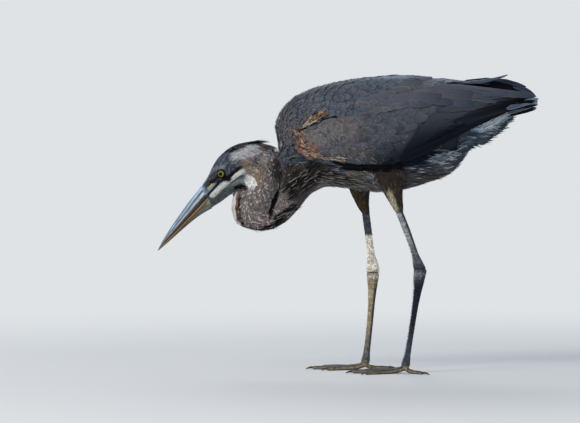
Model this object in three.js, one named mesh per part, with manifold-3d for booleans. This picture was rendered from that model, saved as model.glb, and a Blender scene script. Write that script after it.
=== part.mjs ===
// A great blue heron, life size, as a still museum model: it leans forward and looks down its bill,
// with the neck folded in an S and both feet flat on the floor.
// Millimetres, +Z up. The bill points to -X, the bird's left side is at -Y, and the floor is z = 0.
//
// Nearly every part is a loft through stations. A station is one cut through the body, given as the
// two ends of its depth, low (belly or front edge) and high (back edge), and its half width along Y.
import * as THREE from "three";
import { mergeVertices } from "three/addons/utils/BufferGeometryUtils.js";
import Module from "manifold-3d";

const wasm = await Module();
wasm.setup();

// ---- Driving dimensions -------------------------------------------------------------------------
const GAP = 0.3; // between parts that touch
const SIDE = { left: -1, right: 1 };

const BILL_BASE = { chin: [-243, 296], forehead: [-263, 336] };
const BILL_TIP = { low: [-341.5, 216.6], high: [-343, 217.8] };
const GAPE_AT_BASE = [-254.6, 312];

const EYE = { x: -227, z: 357, fromMiddle: 11.6, radius: 7.6 };

const HIP_FROM_MIDDLE = 36; // each leg's distance from the middle plane, at the thigh
const FOOT_FROM_MIDDLE = 42; // the same at the foot
const FOOT_JOINT = { left: [102, 9], right: [31, 9] }; // where the toes meet the tarsus, x and z
const TOE_RADIUS = 4.3;
const SOLE_CUT = 0.5; // how much of a toe's round underside the floor flattens

// Toe lengths without the claw, and the way each points: degrees from straight ahead, outwards positive.
const TOES = {
  inner: { length: 72, turn: { left: -24, right: -20 }, claw: 11 },
  middle: { length: 94, turn: { left: 4, right: 3 }, claw: 13 },
  outer: { length: 80, turn: { left: 29, right: 29 }, claw: 11 },
  hind: { length: 44, turn: { left: 135, right: 160 }, claw: 17 },
};

// ---- Finishes -----------------------------------------------------------------------------------
const finish = (color, roughness) => new THREE.MeshStandardMaterial({ color, roughness, metalness: 0 });
const FINISH = {
  slate: finish(0x4d5057, 0.8),
  wing: finish(0x4a4c53, 0.75),
  neck: finish(0x80756c, 0.85),
  crest: finish(0x23252b, 0.7),
  vent: finish(0x8e9295, 0.9),
  thigh: finish(0x7d6a52, 0.9),
  leg: finish(0x8d836d, 0.6),
  claw: finish(0x2b2a28, 0.4),
  billUpper: finish(0x6c7787, 0.4),
  billLower: finish(0xb9822b, 0.4),
  eye: finish(0xc9b23a, 0.1),
};

// ---- Shape tools --------------------------------------------------------------------------------

const volumeOf = (corner, faces) => {
  const [a, b, c] = [new THREE.Vector3(), new THREE.Vector3(), new THREE.Vector3()];
  let volume = 0;
  for (let i = 0; i < faces.length; i += 3) {
    a.fromBufferAttribute(corner, faces[i]);
    b.fromBufferAttribute(corner, faces[i + 1]);
    c.fromBufferAttribute(corner, faces[i + 2]);
    volume += a.dot(b.cross(c)) / 6;
  }
  return volume;
};

// A closed geometry as a manifold solid, with its faces turned outwards.
function solid(geometry) {
  const bare = geometry.clone();
  bare.deleteAttribute("normal");
  bare.deleteAttribute("uv");
  const merged = mergeVertices(bare, 1e-3);
  const corner = merged.attributes.position;
  const faces = Uint32Array.from(merged.index.array);
  if (volumeOf(corner, faces) < 0) faces.reverse();
  return new wasm.Manifold(new wasm.Mesh({ numProp: 3, vertProperties: corner.array, triVerts: faces }));
}

// A manifold solid as a geometry with smooth normals.
function surface(shape) {
  const made = shape.getMesh();
  const geometry = new THREE.BufferGeometry();
  geometry.setAttribute("position", new THREE.BufferAttribute(made.vertProperties, made.numProp));
  geometry.setIndex(new THREE.BufferAttribute(made.triVerts, 1));
  geometry.computeVertexNormals();
  return geometry;
}

// The room a shape needs: the shape made thicker all round by the gap, for cutting out of a neighbour.
// Each corner moves along the mean of its faces, far enough that every one of them moves by the gap.
function room(shape, by = GAP) {
  const geometry = surface(shape);
  const place = geometry.attributes.position;
  const index = geometry.index;
  const means = Array.from({ length: place.count }, () => new THREE.Vector3());
  const faces = [];
  for (let i = 0; i < index.count; i += 3) {
    const ids = [index.getX(i), index.getX(i + 1), index.getX(i + 2)];
    const corners = ids.map((id) => new THREE.Vector3().fromBufferAttribute(place, id));
    const normal = new THREE.Triangle(...corners).getNormal(new THREE.Vector3());
    faces.push({ ids, normal });
    ids.forEach((id, k) => {
      const one = corners[(k + 1) % 3].clone().sub(corners[k]);
      const other = corners[(k + 2) % 3].clone().sub(corners[k]);
      means[id].addScaledVector(normal, one.angleTo(other));
    });
  }
  means.forEach((mean) => mean.normalize());
  const least = means.map(() => 1);
  for (const { ids, normal } of faces) {
    for (const id of ids) least[id] = Math.min(least[id], normal.dot(means[id]));
  }
  means.forEach((mean, id) => {
    const reach = by / Math.max(least[id], 0.55);
    const moved = mean.multiplyScalar(reach).add(new THREE.Vector3().fromBufferAttribute(place, id));
    place.setXYZ(id, moved.x, moved.y, moved.z);
  });
  return solid(geometry);
}

// A shape less the room its neighbours need, as one body: a cut can leave a crumb beside it.
function fitted(shape, ...neighbours) {
  const cut = neighbours.reduce((rest, neighbour) => rest.subtract(room(neighbour)), shape);
  return cut.decompose().reduce((best, next) => (next.volume() > best.volume() ? next : best));
}

// A solid as a named mesh.
function node(name, shape, material) {
  const mesh = new THREE.Mesh(surface(shape), material);
  mesh.name = name;
  return mesh;
}

// A smooth curve through one triple of numbers for each station, read by station number.
function through(triples) {
  const points = triples.map((triple) => new THREE.Vector3(...triple));
  const curve = new THREE.CatmullRomCurve3(points, false, "catmullrom", 0.5);
  return (at) => curve.getPoint(at / (triples.length - 1));
}

const power = (value, by) => Math.sign(value) * Math.abs(value) ** by;

// A loft through stations [low x, low z, high x, high z, half width, y]. A square of 2 gives ellipses,
// and more gives fuller sections. from and to are station numbers.
function loft(stations, { perSpan = 2, sides = 16, square = 2, from = 0, to = stations.length - 1 } = {}) {
  const low = through(stations.map((s) => [s[0], 0, s[1]]));
  const high = through(stations.map((s) => [s[2], 0, s[3]]));
  const half = through(stations.map((s) => [s[4], s[5] ?? 0, 0]));
  const rings = Math.max(1, Math.round((to - from) * perSpan));
  const geometry = new THREE.CylinderGeometry(1, 1, 1, sides, rings);
  const place = geometry.attributes.position;
  for (let i = 0; i < place.count; i++) {
    const at = from + (place.getY(i) + 0.5) * (to - from);
    const middle = low(at).add(high(at)).multiplyScalar(0.5);
    const depth = high(at).sub(middle);
    const width = half(at);
    const across = power(place.getX(i), 2 / square) * width.x;
    const point = middle.addScaledVector(depth, power(place.getZ(i), 2 / square));
    place.setXYZ(i, point.x, width.y + across, point.z);
  }
  return solid(geometry);
}

// A tapering round bar along a path of [x, y, z, radius] points.
function bar(path, { perSpan = 2, sides = 8 } = {}) {
  const centre = through(path.map((p) => p.slice(0, 3)));
  const thick = through(path.map((p) => [p[3], 0, 0]));
  const spans = path.length - 1;
  const geometry = new THREE.CylinderGeometry(1, 1, 1, sides, Math.round(spans * perSpan));
  const place = geometry.attributes.position;
  const step = 0.02;
  for (let i = 0; i < place.count; i++) {
    const at = (place.getY(i) + 0.5) * spans;
    const ahead = centre(Math.min(at + step, spans)).sub(centre(Math.max(at - step, 0))).normalize();
    const aside = new THREE.Vector3(0, 0, 1).cross(ahead).normalize();
    const up = ahead.clone().cross(aside);
    const radius = thick(at).x;
    const point = centre(at).addScaledVector(aside, place.getX(i) * radius);
    point.addScaledVector(up, place.getZ(i) * radius);
    place.setXYZ(i, point.x, point.y, point.z);
  }
  return solid(geometry);
}

// Everything between y = near and y = far inside an outline drawn from the side, as [x, z] points.
function sideCutter(outline, near, far) {
  const shape = new THREE.Shape(outline.map(([x, z]) => new THREE.Vector2(x, z)));
  const geometry = new THREE.ExtrudeGeometry(shape, { depth: far - near, bevelEnabled: false });
  geometry.rotateX(Math.PI / 2).translate(0, far, 0);
  return solid(geometry);
}

// ---- Head and bill ------------------------------------------------------------------------------

const HEAD = [
  [...BILL_BASE.chin, ...BILL_BASE.forehead, 11],
  [-224, 309, -252, 353, 14.5],
  [-205, 324, -238.5, 380, 18.5],
  [-190, 334, -219.5, 399.5, 20.5],
  [-178, 346, -197, 411, 21],
  [-166, 356, -172, 414, 20],
  [-152, 368, -150, 407, 12],
];
const head = loft(HEAD, { sides: 14 });

const CREST = [
  [-180, 406, -183, 414.8, 8],
  [-164, 410, -164, 417.2, 6],
  [-150, 412.6, -149, 416.8, 3.4],
  [-139, 411.2, -138.6, 413, 1.2],
];
const crest = loft(CREST, { sides: 8 });

// The bill is one dagger, parted along the gape by a thin straight cut.
const BILL = [
  [...BILL_BASE.chin, ...BILL_BASE.forehead, 11],
  [-276, 275, -290, 301, 8],
  [-308.5, 247, -316, 264.5, 5],
  [-332, 225.5, -335.4, 233.2, 2.2],
  [...BILL_TIP.low, ...BILL_TIP.high, 0.6],
];
const bill = loft(BILL, { perSpan: 2, sides: 14, from: 0.012 });
const gapeAhead = new THREE.Vector2(...BILL_TIP.high).sub(new THREE.Vector2(...GAPE_AT_BASE)).normalize();
const gapeUp = [gapeAhead.y, 0, -gapeAhead.x]; // square to the gape, towards the forehead
const gapeHeight = gapeUp[0] * GAPE_AT_BASE[0] + gapeUp[2] * GAPE_AT_BASE[1];
const billUpper = bill.trimByPlane(gapeUp, gapeHeight + GAP / 2);
const billLower = bill.trimByPlane(gapeUp.map((v) => -v), -(gapeHeight - GAP / 2));

function eye(side) {
  const ball = new THREE.SphereGeometry(EYE.radius, 12, 8);
  ball.rotateX(Math.PI / 2).translate(EYE.x, SIDE[side] * EYE.fromMiddle, EYE.z);
  return solid(ball);
}

// ---- Neck ---------------------------------------------------------------------------------------
// It leaves the back of the head, drops to the turn in front of the breast, and climbs back to the body.
// The high edge is the nape: it folds on itself, so the two limbs meet along a crease.

const NECK = [
  [-192, 341, -160, 408, 19],
  [-186, 337, -136, 403, 21.5],
  [-188, 331, -121, 382, 23],
  [-199, 325, -120, 354, 24],
  [-208.5, 312, -123.5, 329, 25],
  [-210, 290, -131.5, 311, 25],
  [-202, 268, -138, 296, 24.5],
  [-180, 257, -141.5, 287, 23.5],
  [-152, 253.5, -140, 284.5, 23.5],
  [-126, 261.5, -139.5, 287, 25],
  [-105, 276, -132.5, 303, 28],
  [-85, 298, -124, 327, 34],
  [-66, 321, -119, 354, 42],
  [-36, 335, -106, 384, 50],
];
const NECK_CUTS = { top: 0, bend: 4.5, foot: 9.5, end: 13 };
const SEAM = 0.006; // in station numbers, half the thin cut between two lengths of the neck
const neck = (from, to) => loft(NECK, { from, to, sides: 14 });
const neckUpper = neck(NECK_CUTS.top, NECK_CUTS.bend - SEAM);
const neckBend = neck(NECK_CUTS.bend + SEAM, NECK_CUTS.foot - SEAM);
const neckLower = neck(NECK_CUTS.foot + SEAM, NECK_CUTS.end);

// ---- Trunk and tail -----------------------------------------------------------------------------

const TRUNK = [
  [-127, 421, -133.5, 440, 7],
  [-125, 398, -130, 454, 27],
  [-118, 372, -119, 475, 40],
  [-98, 348, -96, 497, 50],
  [-58, 335, -54, 515, 58],
  [-4, 330, -4, 526, 62],
  [50, 322, 50, 532.6, 62],
  [100, 327, 100, 535, 57],
  [148, 342, 148, 530.5, 48],
  [186, 358, 190, 511, 37],
  [208, 386, 216, 490, 25],
  [225, 414, 236, 476, 12],
];
const trunk = loft(TRUNK, { sides: 18, square: 2.15 });

const VENT = [
  [193, 372, 204, 470, 34],
  [214, 399, 224, 466, 27],
  [243, 411, 244, 466, 22],
  [268, 430, 264, 468, 16.5],
  [286, 447, 283, 473, 10],
  [297, 462, 295, 475, 4],
];
const vent = loft(VENT, { sides: 12 });

// The tail is a shallow roof of folded feathers: its middle is high and its edges droop.
const TAIL = { from: 215, tip: 341.5, rise: 0.27, highAtTip: 487.5, droop: 9, halfWidth: 31, thick: 3.6 };
function tailFan() {
  const length = TAIL.tip - TAIL.from;
  const geometry = new THREE.BoxGeometry(length, 2, 1, 6, 8, 1);
  const place = geometry.attributes.position;
  for (let i = 0; i < place.count; i++) {
    const along = place.getX(i) / length + 0.5;
    const across = place.getY(i);
    const halfWidth = TAIL.halfWidth * (0.55 + 0.45 * along);
    const arch = TAIL.droop * (0.45 + 0.55 * along) * across * across;
    const high = TAIL.highAtTip - TAIL.rise * length * (1 - along) - arch;
    const corner = 3 * along * across * across; // the outer feathers end a little short
    const under = place.getZ(i) < 0 ? TAIL.thick : 0;
    place.setXYZ(i, TAIL.from + along * length - corner, across * halfWidth, high - under);
  }
  return solid(geometry);
}
const tail = tailFan();

// ---- Wings --------------------------------------------------------------------------------------
// A folded wing is the skin of a wider body outside the trunk, cut to the wing's outline.

const WING_LOWER_EDGE = [
  [-96, 418], [-97, 405], [-90, 392], [-72, 382], [-48, 377], [-20, 374.5], [15, 371.5], [50, 371],
  [78, 370], [93, 376], [124, 394], [172, 419], [210, 440], [250, 462.5], [288, 477], [318, 489], [339, 493],
];
const SCAPULAR_LINE = [
  [168, 531], [130, 506], [90, 485], [43, 469], [0, 461], [-36, 457], [-68, 445], [-88, 433],
];
const ABOVE = 570;
const WING_ENVELOPE = [
  [-114, 366, -116, 474, 36],
  [-99, 345, -98, 493, 55],
  [-58, 332, -54, 513, 67],
  [-4, 327, -4, 524, 72],
  [50, 319, 50, 531, 73],
  [100, 324, 100, 535, 70],
  [150, 352, 150, 532, 63],
  [200, 396, 200, 523, 51],
  [250, 442, 250, 518, 37],
  [295, 470, 295, 509, 23],
  [326, 485, 327, 503, 12],
  [341.5, 489, 342.5, 494, 4],
];
// How far each wing's ridge stands above the envelope, behind the back, by station number.
const RIDGE = { left: { 8: -3, 9: -4, 10: -3 }, right: { 7: 2, 8: 8, 9: 8, 10: 4 } };
const INNER_EDGE = 0.4;

function wing(side) {
  const stations = WING_ENVELOPE.map((s, i) => [s[0], s[1], s[2], s[3] + (RIDGE[side][i] ?? 0), s[4]]);
  const envelope = loft(stations, { sides: 20, square: 2.4 });
  const outline = [...WING_LOWER_EDGE, [350, 493], [350, ABOVE], [168, ABOVE], ...SCAPULAR_LINE];
  const reach = [SIDE[side] * INNER_EDGE, SIDE[side] * 130].sort((a, b) => a - b);
  return fitted(envelope.intersect(sideCutter(outline, ...reach)), trunk, tail, vent);
}
const wings = { left: wing("left"), right: wing("right") };

// One long inner feather of the left wing stands clear of the others.
const PLUME = [
  [196, 519.5, 196, 521.5, 5, -8],
  [232, 522, 232, 524.5, 7, -8],
  [262, 525.5, 262, 528, 6, -8],
  [286, 531.6, 286, 532.8, 1.5, -8],
];
const plume = loft(PLUME, { sides: 8 });

// ---- Legs ---------------------------------------------------------------------------------------
// Each leg hangs on four joints, as x and z seen from the side. Along a segment, each cut is level:
// its share of the way down, its half depth fore and aft, and its half width.

const LEG = {
  left: { hip: [67, 366], knee: [91.5, 289], hock: [129.2, 184.4], foot: FOOT_JOINT.left },
  right: { hip: [23, 366], knee: [32.2, 283], hock: [45.6, 182.6], foot: FOOT_JOINT.right },
};
const THIGH = [[0, 38, 24], [0.3, 24.5, 21], [0.6, 16.5, 15.7], [0.85, 11, 10.6], [1.03, 7.1, 7]];
const SHANK = [
  [-0.03, 7, 5.4], [0.3, 6.9, 5.1], [0.5, 6.3, 5], [0.72, 6.5, 5.4], [0.88, 10, 7.6], [1, 12, 8.4],
];
const TARSUS = [
  [0.004, 12, 8.2], [0.1, 10.4, 7.4], [0.22, 7.8, 5.4], [0.36, 6.1, 4.5], [0.53, 5.6, 4.3],
  [0.72, 5.5, 4.6], [0.87, 6, 5.6], [0.96, 8, 7.3], [1.02, 6, 6.4],
];
// How far the middle of each segment bows, backwards positive.
const BOW = {
  thigh: { left: 0, right: -6 },
  shank: { left: 1.5, right: 0 },
  tarsus: { left: 0.5, right: 2.5 },
};

function segment(side, upper, lower, cuts, bow) {
  const [top, bottom] = [LEG[side][upper], LEG[side][lower]];
  return cuts.map(([share, halfDepth, halfWidth]) => {
    const x = THREE.MathUtils.lerp(top[0], bottom[0], share) + 4 * share * (1 - share) * bow[side];
    const z = THREE.MathUtils.lerp(top[1], bottom[1], share);
    const fromMiddle = THREE.MathUtils.mapLinear(z, 0, LEG[side].hip[1], FOOT_FROM_MIDDLE, HIP_FROM_MIDDLE);
    return [x - halfDepth, z, x + halfDepth, z, halfWidth, SIDE[side] * fromMiddle];
  });
}
const thigh = (side) => loft(segment(side, "hip", "knee", THIGH, BOW.thigh), { sides: 12 });
const shank = (side) => loft(segment(side, "knee", "hock", SHANK, BOW.shank), { sides: 10, perSpan: 1.6 });
const tarsus = (side) => loft(segment(side, "hock", "foot", TARSUS, BOW.tarsus), { sides: 10, perSpan: 1 });

// ---- Feet ---------------------------------------------------------------------------------------

// A point some way ahead of another, on the floor plan.
const along = (start, ahead, reach) => [start[0] + ahead[0] * reach, start[1] + ahead[1] * reach];

// A toe leaves the foot joint, comes down to the floor and runs along it, with a low knuckle at each joint.
function toePath(side, name) {
  const { length, turn } = TOES[name];
  const angle = THREE.MathUtils.degToRad(turn[side]);
  const ahead = [-Math.cos(angle), SIDE[side] * Math.sin(angle)];
  const [x, z] = FOOT_JOINT[side];
  const start = [x, SIDE[side] * FOOT_FROM_MIDDLE];
  const radius = name === "hind" ? 3.7 : TOE_RADIUS;
  const knuckles = [
    { at: 0, high: z, thick: 1.05 },
    { at: 0.2, high: radius + 1.4, thick: 1.05 },
    { at: 0.45, high: radius - SOLE_CUT, thick: 0.95 },
    { at: 0.72, high: radius * 0.93 - SOLE_CUT, thick: 0.93 },
    { at: 1, high: radius * 0.78 - SOLE_CUT, thick: 0.78 },
  ];
  return knuckles.map(({ at, high, thick }) => [...along(start, ahead, length * at), high, radius * thick]);
}
const toe = (side, name) => bar(toePath(side, name), { sides: 8, perSpan: 1 }).trimByPlane([0, 0, 1], 0);

// A claw hooks down from the toe's end until its point is on the floor.
function claw(side, name) {
  const path = toePath(side, name);
  const [tip, before] = [path.at(-1), path.at(-2)];
  const reach = Math.hypot(tip[0] - before[0], tip[1] - before[1]);
  const ahead = [(tip[0] - before[0]) / reach, (tip[1] - before[1]) / reach];
  const length = TOES[name].claw;
  const hook = [
    { at: -3, high: tip[2] + 0.6, thick: 2.3 },
    { at: 0.35 * length, high: tip[2] + 1.2, thick: 2 },
    { at: 0.75 * length, high: 2.4, thick: 1.3 },
    { at: length, high: 0.6, thick: 0.5 },
  ];
  const points = hook.map(({ at, high, thick }) => [...along(tip, ahead, at), high, thick]);
  return bar(points, { sides: 6, perSpan: 1 }).trimByPlane([0, 0, 1], 0);
}

function foot(side) {
  const names = Object.keys(TOES);
  const toes = names.map((name) => toe(side, name));
  return names.flatMap((name, i) => [
    node(`toe_${side}_${name}`, fitted(toes[i], tarsus(side), ...toes.slice(0, i)), FINISH.leg),
    node(`claw_${side}_${name}`, fitted(claw(side, name), toes[i]), FINISH.claw),
  ]);
}

function leg(side) {
  const group = new THREE.Group();
  group.add(
    node(`thigh_${side}`, fitted(thigh(side), trunk, shank(side)), FINISH.thigh),
    node(`shank_${side}`, shank(side), FINISH.leg),
    node(`tarsus_${side}`, fitted(tarsus(side), shank(side)), FINISH.leg),
    ...foot(side),
  );
  return group;
}

// ---- The bird -----------------------------------------------------------------------------------

const bird = new THREE.Group();
bird.add(
  node("head", fitted(head, eye("left"), eye("right")), FINISH.slate),
  node("bill_upper", billUpper, FINISH.billUpper),
  node("bill_lower", billLower, FINISH.billLower),
  node("eye_left", eye("left"), FINISH.eye),
  node("eye_right", eye("right"), FINISH.eye),
  node("crest", fitted(crest, head, neckUpper), FINISH.crest),
  node("neck_upper", fitted(neckUpper, head, neckLower, trunk), FINISH.neck),
  node("neck_bend", fitted(neckBend, neckLower, trunk), FINISH.neck),
  node("neck_lower", fitted(neckLower, trunk), FINISH.neck),
  node("trunk", trunk, FINISH.slate),
  node("vent", fitted(vent, trunk, tail), FINISH.vent),
  node("tail", fitted(tail, trunk), FINISH.wing),
  node("wing_left", wings.left, FINISH.wing),
  node("wing_right", wings.right, FINISH.wing),
  node("plume_left", fitted(plume, wings.left, wings.right, trunk), FINISH.wing),
  leg("left"),
  leg("right"),
);

// The part's origin is on the floor, under the middle of its box.
const box = new THREE.Box3().setFromObject(bird);
const centre = box.getCenter(new THREE.Vector3());
bird.position.set(-centre.x, -centre.y, -box.min.z);

const heron = new THREE.Group();
heron.add(bird);
export default heron;
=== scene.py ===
# %% [markdown]
# A great blue heron, life size, as a still museum model. It leans forward over its bill, with the neck
# folded in an S. The bird is built as a taxidermist would: first one skin, then horn, eyes and claws,
# then the coat, feather by feather. Every feather could be a particle or a curve, but those are lost
# when the model leaves Blender, so each one here is a thin closed mesh, and many are joined in a piece.

# %% Load the frame
import math
import bmesh
import bpy
import numpy as np
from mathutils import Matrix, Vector, noise
from mathutils.bvhtree import BVHTree
from mathutils.kdtree import KDTree


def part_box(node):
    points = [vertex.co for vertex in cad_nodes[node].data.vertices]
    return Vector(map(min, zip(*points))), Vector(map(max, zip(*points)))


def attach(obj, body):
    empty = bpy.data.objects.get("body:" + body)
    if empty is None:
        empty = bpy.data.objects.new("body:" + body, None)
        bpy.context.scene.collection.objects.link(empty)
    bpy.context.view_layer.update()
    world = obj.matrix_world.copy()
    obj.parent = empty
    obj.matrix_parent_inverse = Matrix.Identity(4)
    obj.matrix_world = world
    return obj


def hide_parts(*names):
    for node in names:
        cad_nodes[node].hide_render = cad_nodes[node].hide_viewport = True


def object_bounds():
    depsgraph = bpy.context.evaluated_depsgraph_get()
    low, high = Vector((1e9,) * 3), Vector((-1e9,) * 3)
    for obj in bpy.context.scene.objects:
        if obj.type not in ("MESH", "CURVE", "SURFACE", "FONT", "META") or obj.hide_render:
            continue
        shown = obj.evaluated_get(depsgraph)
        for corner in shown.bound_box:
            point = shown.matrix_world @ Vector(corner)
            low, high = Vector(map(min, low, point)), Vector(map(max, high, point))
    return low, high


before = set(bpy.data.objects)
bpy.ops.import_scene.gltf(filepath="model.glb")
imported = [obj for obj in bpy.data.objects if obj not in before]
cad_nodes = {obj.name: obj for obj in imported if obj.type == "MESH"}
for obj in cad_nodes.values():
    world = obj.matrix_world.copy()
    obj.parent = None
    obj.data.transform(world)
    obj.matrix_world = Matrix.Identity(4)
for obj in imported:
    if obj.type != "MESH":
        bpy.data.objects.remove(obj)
cad_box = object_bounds()
scene = bpy.context.scene
MM = 0.001
chance = np.random.default_rng(7)
print("frame:", len(cad_nodes), "solids, box", [round(v, 3) for v in (cad_box[1] - cad_box[0])])

# %% [markdown]
# Places on the bird are read off the frame: the middle of its box, an eye, the bend of the folded wing,
# and the point where the flight feathers end. Millimetres are easier to think in than metres, so
# patterns and markings are laid out in millimetres from these places.

# %% Landmarks
box_middle = (cad_box[0] + cad_box[1]) / 2


def middle_of(name):
    """The middle of a solid's box."""
    low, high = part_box(name)
    return (Vector(low) + Vector(high)) / 2


EYE = np.array(middle_of("eye_left")) / MM
WING_LOW, WING_HIGH = [np.array(corner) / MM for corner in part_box("wing_left")]
BEND = np.array([WING_LOW[0], 0, WING_LOW[2] + 35])  # the wrist, foremost on the folded wing
WING_TIP = np.array([WING_HIGH[0] + 2, 0, 491.0])
print("eye", EYE.round(1), "wing bend", BEND.round(1), "wing tip", WING_TIP.round(1))

# %% [markdown]
# A long lens from far off flattens the view, so that near and far legs keep their size. The floor is a
# wide pale plane that fades into an even pale tone, so there is no horizon line. The light is soft: one
# big lamp high in front and to the left, a weaker one on the right, one behind, and a pale sky all round.


# %% Camera, lamps and floor
def to_linear(hex_colour):
    """An sRGB hex colour as linear red, green and blue."""
    parts = [int(hex_colour[i : i + 2], 16) / 255 for i in (1, 3, 5)]
    return np.array([c / 12.92 if c <= 0.04045 else ((c + 0.055) / 1.055) ** 2.4 for c in parts])


def add_node(tree, kind, settings=None, **links):
    """Adds a shader node, sets its settings, and links or fills its inputs: a value fills, a socket links,
    and another node links by its first output. An input is called by its name, or by i and its number."""
    made = tree.nodes.new("ShaderNode" + kind)
    for key, value in (settings or {}).items():
        setattr(made, key, value)
    for key, value in links.items():
        name = key.replace("_", " ")
        socket = made.inputs[int(key[1:])] if key[0] == "i" and key[1:].isdigit() else made.inputs[name]
        if isinstance(value, bpy.types.Node):
            value = value.outputs[0]
        if isinstance(value, bpy.types.NodeSocket):
            tree.links.new(value, socket)
        else:
            socket.default_value = value
    return made


def new_finish(name):
    """A material whose tree is still empty, and the tree."""
    made = bpy.data.materials.new(name)
    made.use_nodes = True
    made.node_tree.nodes.clear()
    return made, made.node_tree


def placed(name, data):
    """A new object in the scene, at the origin."""
    made = bpy.data.objects.new(name, data)
    scene.collection.objects.link(made)
    return made


def shaped(name, shape):
    """A new mesh object at the origin from a bmesh, which is then freed."""
    made = placed(name, bpy.data.meshes.new(name))
    shape.to_mesh(made.data)
    shape.free()
    return made


SMOOTHLY = {"interpolation_type": "SMOOTHSTEP"}
aim = box_middle + Vector((-104.4, 0, 21)) * MM  # the view leaves room in front of the bird
CAMERA_DISTANCE, CAMERA_RISE = 11.6, math.radians(3)
camera = placed("camera", bpy.data.cameras.new("camera"))
camera.data.sensor_width = 36
camera.data.lens = 400
camera.data.clip_end = 200
camera.location = aim + Vector((0, -math.cos(CAMERA_RISE), math.sin(CAMERA_RISE))) * CAMERA_DISTANCE
camera.rotation_euler = (aim - camera.location).to_track_quat("-Z", "Y").to_euler()
scene.camera = camera
scene.view_settings.view_transform = "Standard"


def lamp(name, place, size, power, colour):
    """A square soft lamp that looks at the bird."""
    light = bpy.data.lights.new(name, "AREA")
    light.size, light.energy = size, power
    light.color = to_linear(colour)
    made = placed(name, light)
    made.location = place
    made.rotation_euler = (aim - made.location).to_track_quat("-Z", "Y").to_euler()


lamp("key", (-2.8, -2.2, 2.7), 1.5, 96, "#fffaf2")
lamp("fill", (2.6, -2.4, 1.4), 2.2, 26, "#f2f6ff")
lamp("rim", (-0.6, 2.8, 2.4), 1.8, 40, "#fbfcff")

PALE = "#dfe3e6"
world = bpy.data.worlds.new("studio")
world.use_nodes = True
scene.world = world
sky = world.node_tree
sky.nodes.clear()
path = add_node(sky, "LightPath").outputs
seen = add_node(
    sky, "Math", {"operation": "MAXIMUM"},
    i0=path["Is Camera Ray"], i1=path["Is Transmission Ray"],
)
seen = add_node(sky, "Math", {"operation": "MAXIMUM"}, i0=seen, i1=path["Is Glossy Ray"])
ambient = add_node(sky, "Background", Color=(*to_linear("#e6eefa"), 1), Strength=0.44)
backdrop = add_node(sky, "Background", Color=(*to_linear(PALE), 1), Strength=1.0)
both = add_node(sky, "MixShader", i0=seen, i1=ambient, i2=backdrop)
add_node(sky, "OutputWorld", Surface=both)

shape = bmesh.new()
bmesh.ops.create_grid(shape, x_segments=1, y_segments=1, size=90)
floor = shaped("floor", shape)
paper, tree = new_finish("pale matt paper")
where = add_node(tree, "TexCoord").outputs["Object"]
away = add_node(tree, "VectorMath", {"operation": "LENGTH"}, i0=where).outputs["Value"]
FADE_FROM, FADE_TO = 0.5, 1.8  # metres from the bird
fade = add_node(tree, "MapRange", SMOOTHLY, i0=away, i1=FADE_FROM, i2=FADE_TO)
looked_at = add_node(tree, "LightPath").outputs["Is Camera Ray"]
fade = add_node(tree, "Math", {"operation": "MULTIPLY"}, i0=fade, i1=looked_at)
matt = add_node(tree, "BsdfPrincipled", Base_Color=(*to_linear("#d3d6d8"), 1), Roughness=0.9)
glow = add_node(tree, "Emission", Color=(*to_linear(PALE), 1), Strength=1.0)
both = add_node(tree, "MixShader", i0=fade, i1=matt, i2=glow)
add_node(tree, "OutputMaterial", Surface=both)
floor.data.materials.append(paper)
print("camera", [round(v, 2) for v in camera.location])

# %% [markdown]
# Markings. A wild bird's pattern is made of whole feathers that differ in colour, so one function gives
# the colour at any place on the body, and skin and feathers both ask it. A pattern could be painted on
# an image; here it is a few named strokes, each a bent line in the side view with its half width, its
# softness and its colour, laid over a ground colour for each part of the body. Both sides match. The
# head has the sharpest pattern: a white cheek between black lines, and a black stripe over the eye.
# Some strokes are partly or wholly painted shade or painted sheen, and their titles say so.

# %% Markings of the head
GROUND = {
    "head": "#474d5a", "neck": "#8a807b", "trunk": "#4e5560",
    "wing": "#4c515b", "vent": "#414c54", "thigh": "#3b332d",
}


def from_eye(*points):
    """Millimetres behind and above the eye, as places in the side view."""
    return [(EYE[0] + x, EYE[2] + z) for x, z in points]


def from_bend(*points):
    """Millimetres behind and above the wing's bend, as places in the side view."""
    return [(BEND[0] + x, BEND[2] + z) for x, z in points]


def strokes_from(landmark, rows):
    """Strokes whose lines are given from a landmark. Each has its title, line, half width, softness,
    colour and strength."""
    return [(title, landmark(*line), *look) for title, line, *look in rows]


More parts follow.
